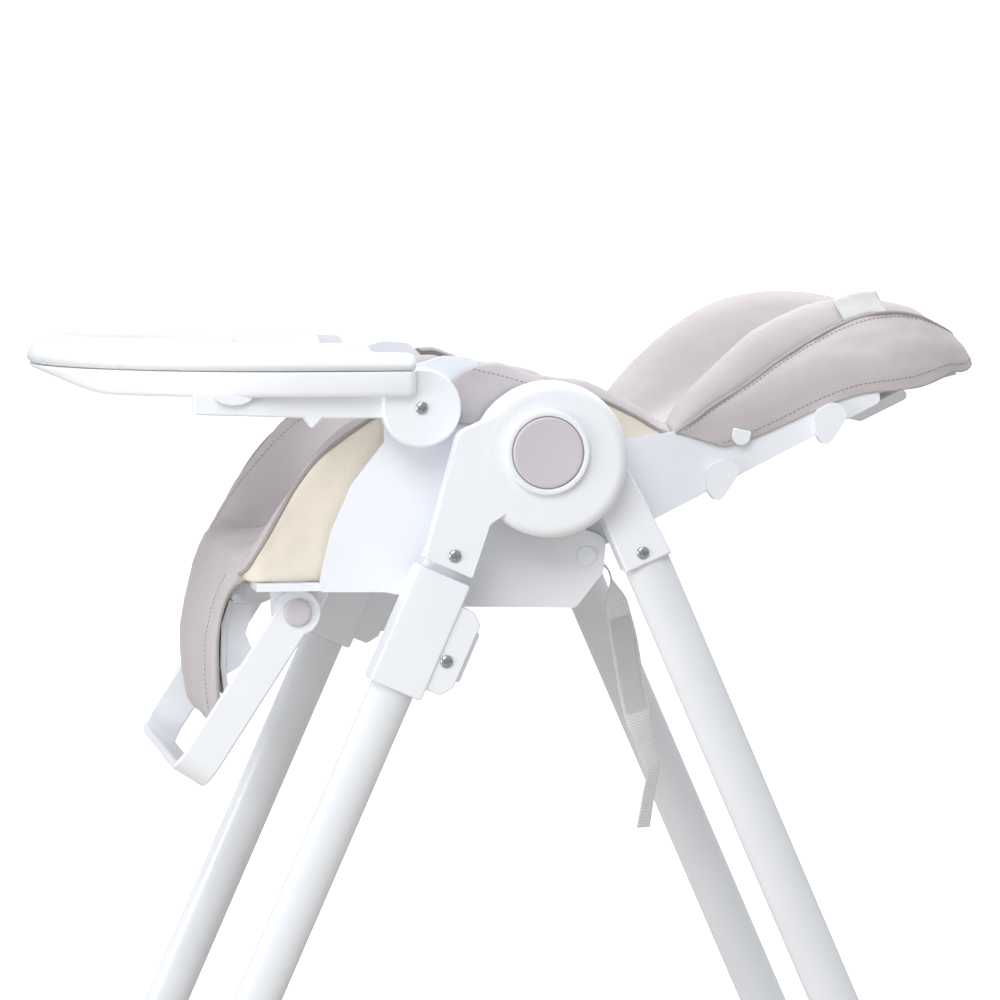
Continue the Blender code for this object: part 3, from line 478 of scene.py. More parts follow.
def sole_rubber():
    """Thermoplastic rubber soles: dull grey with a dusty bloom."""
    finish, shader = new_finish("thermoplastic_rubber", linear("#75757A"), 0.80, IOR=1.45)
    place = add_node(finish, "ShaderNodeTexCoord").outputs["Object"]
    bloom = add_node(finish, "ShaderNodeTexNoise", inputs={"Scale": 300.0, "Detail": 4.0},
                     links={"Vector": place})
    tint(finish, shader, bloom.outputs["Fac"], 0.3, 0.7, linear("#7D7D82"), linear("#66666B"))
    relief(finish, shader, bloom.outputs["Fac"], 0.00015)
    return finish


def floor_paper():
    """Seamless studio paper, burnt out to white for the camera by its own background light, and
    warm and half as bright for what it throws back on the chair."""
    finish, shader = new_finish("studio_paper", linear("#BDB6AD"), 0.9, Emission_Color=(1, 1, 1, 1))
    place = add_node(finish, "ShaderNodeTexCoord").outputs["Object"]
    fibre = add_node(finish, "ShaderNodeTexNoise", inputs={"Scale": 6.0, "Detail": 5.0},
                     links={"Vector": place})
    tint(finish, shader, fibre.outputs["Fac"], 0.2, 0.8, linear("#BFB8AF"), linear("#B8B1A8"))
    seen = add_node(finish, "ShaderNodeLightPath").outputs["Is Camera Ray"]
    finish.node_tree.links.new(seen, shader.inputs["Emission Strength"])
    return finish


MAKERS = {"white": moulded_white, "tube": powder_coat, "tray": clear_tray, "taupe": taupe_abs,
          "leather": taupe_leather, "cream": cream_leather, "piping": piping_leather,
          "lining": lining_cloth, "webbing": harness_webbing, "tape": strap_tape,
          "label": satin_label, "thread": sewing_thread, "white_thread": white_thread,
          "acetal": buckle_acetal, "zinc": zinc_steel, "rubber": sole_rubber, "paper": floor_paper}
made_finishes = {}


def finish_of(name):
    if name not in made_finishes:
        made_finishes[name] = MAKERS[name]()
    return made_finishes[name]


# ---------------------------------------------------------------- making pieces
def add_piece(name, shape, finishes, where=None, replaced=(), sharp=40.0):
    """Turns a bmesh into a shown piece. where is a body to fasten it to; a (body, body, start, end)
    tuple, given for cloth between two bodies, leaves it fastened to neither."""
    finishes = (finishes,) if isinstance(finishes, str) else finishes
    mesh = bpy.data.meshes.new(name)
    shape.to_mesh(mesh)
    shape.free()
    for finish in finishes:
        mesh.materials.append(finish_of(finish))
    piece = bpy.data.objects.new(name, mesh)
    shade(piece, sharp)
    bpy.context.scene.collection.objects.link(piece)
    if where is not None:
        fasten(piece, where)
    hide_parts(*replaced)
    return piece


def fasten(piece, where):
    if isinstance(where, str):
        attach(piece, where)
    else:
        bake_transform(piece)


def settle(piece):
    """Applies a piece's modifiers."""
    mesh = bpy.data.meshes.new_from_object(
        piece.evaluated_get(bpy.context.evaluated_depsgraph_get()), preserve_all_data_layers=True,
        depsgraph=bpy.context.evaluated_depsgraph_get())
    mesh.name = piece.data.name
    piece.modifiers.clear()
    piece.data = mesh
    return piece


def combine(piece, tool_shape, operation):
    """Joins a shape to a piece, or cuts it out."""
    mesh = bpy.data.meshes.new("tool")
    tool_shape.to_mesh(mesh)
    tool_shape.free()
    tool = bpy.data.objects.new("tool", mesh)
    bpy.context.scene.collection.objects.link(tool)
    change = piece.modifiers.new("shape", "BOOLEAN")
    change.operation = operation
    change.object = tool
    settle(piece)
    bpy.data.objects.remove(tool)
    bpy.data.meshes.remove(mesh)
    return piece


def shade(piece, sharp):
    """Smooth shading but for the edges sharper than an angle in degrees."""
    piece.data.shade_smooth()
    piece.data.set_sharp_from_angle(angle=radians(sharp))


def even_shading(piece):
    """Keeps the flats beside a rounded edge flat to the eye."""
    even = piece.modifiers.new("even_shading", "WEIGHTED_NORMAL")
    even.keep_sharp = True


def thicken(piece, thickness, offset=0.0):
    """Gives a sheet its thickness, to both sides or to the back of its face."""
    solid = piece.modifiers.new("thickness", "SOLIDIFY")
    solid.thickness = thickness
    solid.offset = offset
    return solid


def soft_edges(piece, width, segments=3, angle=32.0):
    """Rounded moulded edges."""
    edge = piece.modifiers.new("moulded_edge", "BEVEL")
    edge.width = width
    edge.segments = segments
    edge.limit_method = "ANGLE"
    edge.angle_limit = radians(angle)
    edge.miter_outer = "MITER_ARC"
    shade(piece, 60)
    even_shading(piece)
    return piece


def moulding(node, finish, width=0.0010, segments=3, word="moulding", angle=32.0):
    """A fine copy of a rigid part: its loose faces merged and its edges rounded."""
    shape = bmesh.new()
    shape.from_mesh(frame["nodes"][node].data)
    bmesh.ops.remove_doubles(shape, verts=shape.verts, dist=0.00002)
    bmesh.ops.dissolve_limit(shape, angle_limit=radians(1.0), verts=shape.verts, edges=shape.edges)
    piece = add_piece(node + "_" + word, shape, finish, frame["nodes"][node]["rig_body"], (node,))
    return soft_edges(piece, width, segments, angle)


def flat_solid(outline, low, high):
    """A flat outline in side view, (y, z) from the fold axis, made solid from x = low to high."""
    shape = bmesh.new()
    face = shape.faces.new([shape.verts.new(at(place[0], place[1], low)) for place in outline])
    grown = bmesh.ops.extrude_face_region(shape, geom=[face])["geom"]
    moved = [part for part in grown if isinstance(part, bmesh.types.BMVert)]
    bmesh.ops.translate(shape, vec=(high - low, 0.0, 0.0), verts=moved)
    bmesh.ops.recalc_face_normals(shape, faces=shape.faces)
    return shape


def round_rim(shape, chosen, width, segments=4):
    """Bevels the edges that chosen(middle, direction) picks."""
    edges = []
    for edge in shape.edges:
        first, second = (vert.co for vert in edge.verts)
        if chosen((first + second) / 2, (second - first).normalized()):
            edges.append(edge)
    bmesh.ops.bevel(shape, geom=edges, offset=width, segments=segments, affect="EDGES",
                    profile=0.5, material=-1, clamp_overlap=True)
    return shape


def in_order(shape):
    """Sorts a spun shape's edges and faces by where they lie, since spin leaves no fixed order."""
    def where(part):
        return fsum(vert.co.dot(Vector((0.618, 1.732, 2.236))) for vert in part.verts)

    shape.edges.sort(key=where)
    shape.faces.sort(key=lambda face: where(face) / len(face.verts))


def turned(profile, place, side=1.0, steps=96):
    """A profile of (x, radius) corners turned about the x axis through a side-view place."""
    shape = bmesh.new()
    corners = [shape.verts.new(at(place[0], place[1] + radius, side * x)) for x, radius in profile]
    edges = [shape.edges.new(pair) for pair in zip(corners, corners[1:])]
    bmesh.ops.spin(shape, geom=corners + edges, cent=at(*place), axis=(1.0, 0.0, 0.0),
                   angle=2 * pi, steps=steps, use_merge=True)
    bmesh.ops.remove_doubles(shape, verts=shape.verts, dist=0.00001)
    bmesh.ops.recalc_face_normals(shape, faces=shape.faces)
    in_order(shape)
    return shape


def soft_net(rows, across, along, closed=False, capped=True):
    """A smooth skin through rows of guide places, with its UV map in metres."""
    rings = [smooth_line(row, across, closed) for row in rows]
    columns = [smooth_line(list(guides), along) for guides in zip(*rings)]
    wide, long = len(columns) - 1, len(columns[0]) - 1
    shape = bmesh.new()
    sheet = shape.loops.layers.uv.new("UVMap")
    bmesh.ops.create_grid(shape, x_segments=wide, y_segments=long, size=0.5, calc_uvs=True)
    column_of = shape.verts.layers.int.new("column")
    row_of = shape.verts.layers.int.new("row")
    for vert in shape.verts:
        vert[column_of] = round((vert.co.x + 0.5) * wide)
        vert[row_of] = round((vert.co.y + 0.5) * long)
        vert.co = columns[vert[column_of]][vert[row_of]]
    width, length = length_of(rings[0]), length_of(columns[wide // 2])
    for face in shape.faces:
        for corner in face.loops:
            corner[sheet].uv = (corner[sheet].uv.x * width, corner[sheet].uv.y * length)
    if closed:
        bmesh.ops.remove_doubles(shape, verts=shape.verts, dist=0.000005)
        if capped:
            rim = [edge for edge in shape.edges if edge.is_boundary]
            caps = bmesh.ops.holes_fill(shape, edges=rim, sides=0)["faces"]
            bmesh.ops.triangulate(shape, faces=caps)
    bmesh.ops.recalc_face_normals(shape, faces=shape.faces)
    return shape, columns


def pipe(places, radius, sides=10, closed=False):
    """A round cord along places, as a bmesh with welded ends."""
    drawing = bpy.data.curves.new("pipe", "CURVE")
    drawing.dimensions = "3D"
    drawing.bevel_depth = radius
    drawing.bevel_resolution = (sides - 4) // 2
    drawing.use_fill_caps = not closed
    spline = drawing.splines.new("POLY")
    spline.points.add(len(places) - 1)
    for point, place in zip(spline.points, places):
        point.co = (*place, 1.0)
    spline.use_cyclic_u = closed
    guide = bpy.data.objects.new("pipe", drawing)
    bpy.context.scene.collection.objects.link(guide)
    drawn = guide.evaluated_get(bpy.context.evaluated_depsgraph_get())
    mesh = bpy.data.meshes.new_from_object(drawn)
    bpy.data.objects.remove(guide)
    shape = bmesh.new()
    shape.from_mesh(mesh)
    bpy.data.meshes.remove(mesh)
    bmesh.ops.remove_doubles(shape, verts=shape.verts, dist=0.000005)
    bmesh.ops.recalc_face_normals(shape, faces=shape.faces)
    return shape


def surface_of(shape):
    return BVHTree.FromBMesh(shape)


def lay_on(surface, places, lift):
    """The places moved onto a surface, and lifted off it."""
    laid = []
    for place in places:
        spot, normal, _, _ = surface.find_nearest(place)
        laid.append((spot + normal * lift, normal))
    return laid


def stitches(surface, seams, length=0.0034, gap=0.0013, thickness=0.00052, above=0.0):
    """Sewn thread along seams on a surface, or above it: one short bead for each stitch."""
    shape = bmesh.new()
    for seam in seams:
        ends = even_line(seam, length + gap)
        for near, far in zip(ends, ends[1:]):
            (place, normal), = lay_on(surface, [(near + far) / 2], thickness * 0.35 + above)
            run = (far - near).normalized()
            across = normal.cross(run).normalized()
            turn = Matrix((run, across, run.cross(across))).transposed().to_4x4()
            size = Matrix.Diagonal((length / 2, thickness, thickness, 1.0))
            bmesh.ops.create_icosphere(shape, subdivisions=1, radius=1.0,
                                       matrix=Matrix.Translation(place) @ turn @ size)
    return shape


def sew(shape, seams, depth, reach, pitch=0.011, ripple=0.0005):
    """Pulls a padded skin in along its seams, with small puckers beside them."""
    marks = [place for seam in seams for place in even_line(seam, 0.002)]
    tree = KDTree(len(marks))
    for index, place in enumerate(marks):
        tree.insert(place, index)
    tree.balance()
    shape.normal_update()
    moves = []
    for vert in shape.verts:
        _, index, distance = tree.find(vert.co)
        pull = exp(-(distance / reach) ** 2)
        near = exp(-(distance / (2.6 * reach)) ** 2) - pull
        wave = sin(2 * pi * index * 0.002 / pitch + 2.5 * noise.noise(vert.co * 40))
        moves.append(vert.normal * (-depth * pull + ripple * near * wave))
    for vert, move in zip(shape.verts, moves):
        vert.co += move


def crumple(shape, size, height, chosen=None):
    """Slack in a soft skin: low, broad waves along its normals."""
    shape.normal_update()
    moves = []
    for vert in shape.verts:
        share = 1.0 if chosen is None else chosen(vert.co)
        wave = noise.fractal(vert.co / size, 0.9, 2.0, 3)
        moves.append(vert.normal * (wave * height * share))
    for vert, move in zip(shape.verts, moves):
        vert.co += move


# ---------------------------------------------------------------- settings
def colour_setting(name, description, hex_code):
    return bpy.props.FloatVectorProperty(name=name, description=description, subtype="COLOR",
                                         size=4, min=0.0, max=1.0, default=linear(hex_code))


def size_setting(name, description, value):
    return bpy.props.FloatProperty(name=name, description=description, default=value, min=0.0,
                                   precision=4, subtype="DISTANCE", unit="LENGTH")


class HighChairFinishes(bpy.types.PropertyGroup):
    white: colour_setting("White plastic", "Shells, hubs, tray and footrest", "#F1F5FC")
    tube_white: colour_setting("White tubes", "Powder coat on the legs", "#E9EDF3")
    tray_white: colour_setting("Loose tray", "Frosted upper tray", "#F2F6FB")
    taupe_plastic: colour_setting("Taupe plastic", "Fold buttons and footrest caps", "#CFCBD3")
    taupe_leather: colour_setting("Taupe leatherette", "Cover of the seat and back", "#C8C2C5")
    cream_leather: colour_setting("Cream leatherette", "Side gussets of the seat cover", "#EFE7D9")
    piping: colour_setting("Piping", "Cord sewn into the cover's edges", "#A79FA2")
    thread: colour_setting("Thread", "Stitching of the cover", "#8B8285")
    webbing: colour_setting("Webbing", "Harness straps", "#D9D3CD")
    strap: colour_setting("Tape", "Strap that hangs behind the seat", "#FCFDFF")
    buckle: colour_setting("Buckle", "Harness buckle", "#A59C9B")


class HighChairSewing(bpy.types.PropertyGroup):
    piping_radius: size_setting("Piping radius", "Half the thickness of the piped edge", 0.0021)
    seam_depth: size_setting("Seam depth", "How far a seam pulls the padding in", 0.0028)
    seam_reach: size_setting("Seam reach", "How far beside a seam the padding dips", 0.0065)
    stitch: size_setting("Stitch length", "Length of one stitch", 0.0034)
    slack: size_setting("Slack", "Height of the soft waves in the cover", 0.0016)


class HighChairStage(bpy.types.PropertyGroup):
    floor_size: size_setting("Floor size", "Side of the pale floor", 40.0)
    floor_drop: size_setting("Floor drop", "Room under the soles for the folded rear legs", 0.12)
    lens: bpy.props.FloatProperty(name="Lens", description="Camera's focal length in millimetres",
                                  default=160.75, min=10.0)
    daylight: bpy.props.FloatProperty(name="Daylight", default=0.60, min=0.0,
                                      description="Strength of the even light all round")
    key: bpy.props.FloatProperty(name="Key light", description="Power of the large soft light",
                                 default=76.0, min=0.0, subtype="POWER", unit="POWER")


# ---------------------------------------------------------------- stage
CAMERA_PLACE = (-0.77106, 0.26086, 4.38164)     # in side view, and out to the child's left
BACKGROUND = 1.2                      # the world's brightness as the camera sees it
CAMERA_AIM = Vector((-0.98251, 0.17209, -0.07115)).normalized()


class HIGHCHAIR_OT_stage(bpy.types.Operator):
    """Floor, soft studio light and the camera, level with the seat on the child's left"""
    bl_idname = "high_chair.stage"
    bl_label = "Stage"

    def execute(self, context):
        scene = context.scene
        stage = scene.high_chair_stage
        camera = bpy.data.objects.new("camera", bpy.data.cameras.new("camera"))
        camera.data.lens = stage.lens
        camera.data.sensor_width = 36.0
        camera.data.clip_end = 200.0
        camera.location = at(*CAMERA_PLACE)
        camera.rotation_mode = "QUATERNION"
        camera.rotation_quaternion = CAMERA_AIM.to_track_quat("-Z", "Y")
        scene.collection.objects.link(camera)
        scene.camera = camera
        scene.view_settings.view_transform = "Standard"

        world = bpy.data.worlds.new("studio")
        world.use_nodes = True
        sky = world.node_tree.nodes["Background"]
        sky.inputs["Color"].default_value = (0.96, 0.98, 1.0, 1.0)
        seen = add_node(world, "ShaderNodeLightPath").outputs["Is Camera Ray"]
        level = add_node(world, "ShaderNodeMapRange", links={"Value": seen},
                         inputs={"To Min": stage.daylight, "To Max": BACKGROUND})
        world.node_tree.links.new(level.outputs["Result"], sky.inputs["Strength"])
        scene.world = world

        add_floor(stage.floor_size, stage.floor_drop)
        lamp("key_light", (3.2, -1.4, 3.3), at(-0.05, -0.05), 2.6, stage.key)
        lamp("front_light", (1.9, -3.9, 0.5), at(-0.20, -0.1), 2.2, stage.key)
        lamp("top_light", (-0.6, 0.1, 4.2), at(0.0, 0.0), 2.8, stage.key * 1.45)
        return {"FINISHED"}


def add_floor(size, drop):
    shape = bmesh.new()
    bmesh.ops.create_grid(shape, x_segments=8, y_segments=8, size=size / 2,
                          matrix=Matrix.Translation((0.0, 0.0, -drop)))
    mesh = bpy.data.meshes.new("floor")
    shape.to_mesh(mesh)
    shape.free()
    mesh.materials.append(finish_of("paper"))
    floor = bpy.data.objects.new("floor", mesh)
    bpy.context.scene.collection.objects.link(floor)
    return floor


def lamp(name, place, target, size, power):
    light = bpy.data.lights.new(name, "AREA")
    light.shape = "DISK"
    light.size = size
    light.energy = power
    holder = bpy.data.objects.new(name, light)
    holder.location = place
    holder.rotation_mode = "QUATERNION"
    holder.rotation_quaternion = (target - Vector(place)).to_track_quat("-Z", "Y")
    bpy.context.scene.collection.objects.link(holder)
    return holder


# ---------------------------------------------------------------- rigid parts
class HIGHCHAIR_OT_frame_tubes(bpy.types.Operator):
    """Powder-coated leg and cross tubes, with their feet and soles"""
    bl_idname = "high_chair.frame_tubes"
    bl_label = "Frame tubes and feet"

    def execute(self, context):
        for end in ("front", "rear"):
            moulding(end + "_cross_tube", "tube", 0.0006, 2, "bar")
            for label, _ in SIDES:
                moulding(end + "_leg_" + label, "tube", 0.0005, 2, "tube", 50.0)
                moulding(end + "_foot_" + label, "white", 0.0018, 3)
                moulding(end + "_foot_pad_" + label, "rubber", 0.0008, 2, "sole")
        return {"FINISHED"}


def outer_rim(middle, direction):
    """Picks the edges of the hub's outer face, all but the one at the socket's lower end."""
    down = -(middle - FOLD_AXIS).dot(Vector((0.0, sin(FRONT_LEAN), cos(FRONT_LEAN))))
    return abs(direction.x) < 0.1 and abs(middle.x) > 0.26 and down < 0.125


def front_hub(side):
    """Domed round housing with a hollow in its face; the hubs step joins it to the front leg's
    socket.
    """
    inner, outer = 0.2405, 0.2660
    rim = [(inner, 0.0300), (inner, HUB_RADIUS - 0.0015), (inner + 0.0015, HUB_RADIUS)]
    for step in range(10):
        turn = radians(10 * step)
        rim.append((outer - 0.0095 * (1 - sin(turn)), HUB_RADIUS - 0.0110 * (1 - cos(turn))))
    hollow = [(outer, 0.0585), (outer - 0.0006, 0.0560), (outer - 0.0024, 0.0532),
              (outer - 0.0052, 0.0504), (outer - 0.0080, 0.0474), (outer - 0.0098, 0.0444),
              (outer - 0.0103, 0.0414), (outer - 0.0104, 0.0300), (inner, 0.0300)]
    dome = turned(rim + hollow, (0.0, 0.0), side, 120)
    for vert in dome.verts:
        radius = (vert.co - at(0.0, 0.0, vert.co.x)).length
        vert.co += Vector((0.0, *RECESS)) * ramp(radius, 0.060, 0.047)
    return dome


def oval_bar(x, start, end, depth, width):
    """An oval bar between two side-view places."""
    shape = bmesh.new()
    bmesh.ops.create_cone(shape, cap_ends=True, segments=48, radius1=0.5, radius2=0.5, depth=1.0)
    run = at(*end, x) - at(*start, x)
    along = run.normalized()
    across = along.cross(Vector((1.0, 0.0, 0.0)))
    turn = Matrix((Vector((1.0, 0.0, 0.0)), -across, along)).transposed().to_4x4()
    if turn.determinant() < 0:
        turn = Matrix((Vector((1.0, 0.0, 0.0)), across, along)).transposed().to_4x4()
    size = Matrix.Diagonal((depth, width, run.length, 1.0))
    middle = Matrix.Translation((at(*start, x) + at(*end, x)) / 2)
    bmesh.ops.transform(shape, matrix=middle @ turn @ size, verts=shape.verts)
    return shape


class HIGHCHAIR_OT_hubs(bpy.types.Operator):
    """Round fold hubs with their rings, buttons and pins"""
    bl_idname = "high_chair.hubs"
    bl_label = "Fold hubs"

    def execute(self, context):
        for label, side in SIDES:
            socket = arc((0.0, 0.0), HUB_RADIUS - 0.0130, -130, 128, 24)
            socket += rounded([(socket[-1], 0.0), ((-0.088, 0.026), 0.014),
                               (on_front_leg(SOCKET_END, -0.0237), 0.002),
                               (on_front_leg(SOCKET_END, 0.0237), 0.002),
                               ((-0.060, -0.062), 0.026)], 8)[1:]
            shape = flat_solid(socket, side * 0.2405, side * 0.2658)

            round_rim(shape, outer_rim, 0.0065, 5)
            piece = add_piece("front_hub_%s_housing" % label, shape, "white", "front_frame",
                              ("front_hub_" + label,), 30.0)
            sleeve = [on_front_leg(0.062, -0.0236), on_front_leg(SOCKET_END - 0.0002, -0.0236),
                      on_front_leg(SOCKET_END - 0.0002, 0.0236), on_front_leg(0.062, 0.0236)]
            back = flat_solid(sleeve, side * 0.2243, side * 0.2460)
            round_rim(back, lambda middle, direction: abs(direction.x) < 0.1
                      and abs(middle.x) < 0.23, 0.0050, 4)
            combine(piece, back, "UNION")
            combine(piece, front_hub(side), "UNION")
            combine(piece, oval_bar(side * 0.2416, on_front_leg(0.065), on_front_leg(0.150),
                                    0.0286, 0.0436), "DIFFERENCE")
            shade(piece, 32)
            even_shading(piece)

            ring = [(0.2550, 0.0342), (0.2550, 0.0400), (0.2690, 0.0402), (0.2705, 0.0399),
                    (0.2713, 0.0391), (0.2715, 0.0378), (0.2715, 0.0362), (0.2712, 0.0351),
                    (0.2703, 0.0343), (0.2690, 0.0342), (0.2550, 0.0342)]
            add_piece("hub_ring_%s_collar" % label, turned(ring, RECESS, side, 128), "white",
                      "front_frame", ("hub_ring_" + label,), 35.0)
            button = [(0.2626, 0.0), (0.2626, 0.0334), (0.2706, 0.0336), (0.2716, 0.0333),
                      (0.2722, 0.0326), (0.2724, 0.0316), (0.2722, 0.0290), (0.2716, 0.0200),
                      (0.2713, 0.0100), (0.2712, 0.0)]
            add_piece("fold_button_%s_disc" % label, turned(button, RECESS, side, 128), "taupe",
                      "fold_button_" + label, ("fold_button_" + label,), 45.0)
            moulding("rear_hub_" + label, "white", 0.0022, 4, "socket")
            moulding("hub_pin_" + label, "zinc", 0.0004, 2, "bolt")
        return {"FINISHED"}


def screw(node):
    """Domed zinc screw with a cross recess, its head on the outer side of the part it holds."""
    low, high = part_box(node)
    side = 1.0 if high.x > 0 else -1.0
    middle = (low + high) / 2 - FOLD_AXIS
    tip = max(abs(low.x), abs(high.x))
    base = min(abs(low.x), abs(high.x))
    radius = (high.z - low.z) / 2
    head = tip - 0.0028
    profile = [(base, 0.0), (base, 0.0021), (head, 0.0021), (head + 0.0001, radius * 0.97),
               (head + 0.0006, radius), (head + 0.0014, radius * 0.93),
               (head + 0.0021, radius * 0.76), (head + 0.0026, radius * 0.48),
               (tip, radius * 0.20), (tip, 0.0)]
    place = (middle.y, middle.z)
    piece = add_piece(node + "_head", turned(profile, place, side, 40), "zinc",
                      frame["nodes"][node]["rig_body"], (node,), 40.0)
    for turn in (20.0, 110.0):
        slot = bmesh.new()
        bmesh.ops.create_cube(slot, size=1.0)
        size = Matrix.Diagonal((0.0036, 0.0013, radius * 1.15, 1.0))
        spin = Matrix.Rotation(radians(turn), 4, "X")
        bmesh.ops.transform(slot, matrix=Matrix.Translation(at(*place, side * tip)) @ spin @ size,
                            verts=slot.verts)
        combine(piece, slot, "DIFFERENCE")
    shade(piece, 35)
    return piece


class HIGHCHAIR_OT_screws(bpy.types.Operator):
    """Cross-head screws in the sockets, sliders and tray hinges"""
    bl_idname = "high_chair.screws"
    bl_label = "Screws"

    def execute(self, context):
        for label, _ in SIDES:
            for node in ("front_socket_screw_", "rear_socket_screw_", "slider_screw_",
                         "tray_hinge_screw_"):
                screw(node + label)
            moulding("back_pin_" + label, "white", 0.0010, 4, "capped")
        return {"FINISHED"}


class HIGHCHAIR_OT_sliders(bpy.types.Operator):
    """Height sliders on the front legs, with their squeeze buttons"""
    bl_idname = "high_chair.sliders"
    bl_label = "Height sliders"

    def execute(self, context):
        for label, _ in SIDES:
            moulding("height_slider_" + label, "white", 0.0030, 4, "sleeve")
            moulding("height_button_" + label, "white", 0.0012, 3, "key")
        return {"FINISHED"}


def tray_plan(inset, rear):
    """Plan of the tray: round front, straight sides, and a hollow for the child's waist."""
    half = 0.2620 - inset
    reach = 0.2430 - inset
    hollow = min(inset, 0.050)
    waist = 0.120 + hollow
    depth = rear + 0.2225 + hollow
    corner = min(0.008, 0.35 * (half - waist - 0.012))
    front = [((half * cos(pi + pi * step / 32), -0.230 + reach * sin(pi + pi * step / 32)), 0.0)
             for step in range(33)]
    edge = [((half, rear), corner), ((waist + 0.012, rear), corner)]
    edge += [((waist * cos(pi * step / 12), rear - depth * sin(pi * step / 12)), 0.0)
             for step in range(1, 12)]
    edge += [((-waist - 0.012, rear), corner), ((-half, rear), corner)]
    return rounded(front + edge)


def tray_skin(levels):
    """A closed dish through levels of (inset, rear edge, height)."""
    rows = [[at(place.y, height, place.x) for place in tray_plan(inset, rear)]
            for inset, rear, height in levels]
    shape, _ = soft_net(rows, 2, 4, closed=True)
    return shape


def sculpted(shape):
    """Draws the tray's underside up to its nose, and its rim up towards the front."""
    for vert in shape.verts:
        place = vert.co - FOLD_AXIS
        nose = ramp(place.y, -0.405, -0.490)
        if place.z < 0.084:
            vert.co.z += (0.0838 - place.z) * nose
        else:
            rise = (place.z - 0.0843) / 0.0217
            vert.co.z += 0.0065 * rise * ramp(place.y, -0.160, -0.380)
    return shape


def notch(front):
    """The space between the tray's rear horns, open to the hinge eyes."""
    shape = bmesh.new()
    bmesh.ops.create_cube(shape, size=1.0)
    bmesh.ops.scale(shape, vec=(0.4996, 0.0850, 0.0900), verts=shape.verts)
    bmesh.ops.translate(shape, vec=at(front + 0.0425, 0.0850), verts=shape.verts)
    upright = [edge for edge in shape.edges
               if abs((edge.verts[0].co - edge.verts[1].co).z) > 0.05]
    bmesh.ops.bevel(shape, geom=upright, offset=0.006, segments=4, affect="EDGES", profile=0.5,
                    material=-1)
    return shape


class HIGHCHAIR_OT_tray(bpy.types.Operator):
    """Tray arms, the lower tray with its release tabs, and the loose frosted tray on top"""
    bl_idname = "high_chair.tray"
    bl_label = "Tray"

    def execute(self, context):
        lower = [(0.054, -0.142, 0.0690), (0.030, -0.134, 0.0690), (0.0155, -0.1290, 0.0680),
                 (0.0130, -0.1287, 0.0640), (0.0115, -0.1285, 0.0606), (0.0080, -0.1280, 0.0602),
                 (0.0050, -0.1277, 0.0624), (0.0028, -0.1275, 0.0690), (0.0022, -0.1274, 0.0780),
                 (0.0030, -0.1274, 0.0834), (0.0060, -0.1280, 0.0838), (0.030, -0.1400, 0.0838)]
        base = add_piece("tray_base_dish", sculpted(tray_skin(lower)), "white", "tray",
                         ("tray_base",))
        combine(base, notch(-0.1750), "DIFFERENCE")
        for _, side in SIDES:
            rail = bmesh.new()
            bmesh.ops.create_cube(rail, size=1.0)
            bmesh.ops.scale(rail, vec=(0.0065, 0.1450, 0.0170), verts=rail.verts)
            bmesh.ops.translate(rail, vec=at(-0.2575, 0.0595, side * 0.22225), verts=rail.verts)
            combine(base, rail, "UNION")
        shade(base, 40)
        upper = [(0.040, -0.1560, 0.0843), (0.020, -0.1340, 0.0843), (0.0050, -0.1290, 0.0845),
                 (0.0012, -0.1278, 0.0866), (0.0000, -0.1275, 0.0892), (0.0022, -0.1278, 0.0940),
                 (0.0085, -0.1290, 0.0992), (0.0180, -0.1310, 0.1032), (0.0290, -0.1360, 0.1054),
                 (0.0370, -0.1720, 0.1060), (0.0430, -0.1790, 0.1050), (0.0470, -0.1835, 0.1020),
                 (0.0495, -0.1865, 0.0960), (0.0525, -0.1900, 0.0905), (0.0570, -0.1955, 0.0882),
                 (0.0620, -0.2040, 0.0875)]
        top = add_piece("tray_top_dish", sculpted(tray_skin(upper)), "tray", "tray_top",
                        ("tray_top",), 45.0)
        combine(top, notch(-0.1700), "DIFFERENCE")
        shade(top, 45)
        cup_rest()
        for label, _ in SIDES:
            moulding("tray_arm_" + label, "white", 0.0016, 4, "bar")
            moulding("tray_tab_" + label, "white", 0.0010, 3, "latch")
        return {"FINISHED"}


def cup_rest():
    """Low ring on the dish's floor that a cup stands in."""
    middle = at(-0.345, 0.0875, 0.130)
    ring = bmesh.new()
    profile = [(0.0360, -0.0006), (0.0364, 0.0012), (0.0374, 0.0020), (0.0386, 0.0020),
               (0.0396, 0.0012), (0.0400, -0.0006)]
    corners = [ring.verts.new(middle + Vector((radius, 0.0, height))) for radius, height in profile]
    edges = [ring.edges.new(pair) for pair in zip(corners, corners[1:] + corners[:1])]
    bmesh.ops.spin(ring, geom=corners + edges, cent=middle, axis=(0.0, 0.0, 1.0), angle=2 * pi,
                   steps=96, use_merge=True)
    bmesh.ops.remove_doubles(ring, verts=ring.verts, dist=0.00001)
    bmesh.ops.recalc_face_normals(ring, faces=ring.faces)
    in_order(ring)
    add_piece("tray_cup_ring", ring, "tray", "tray_top")


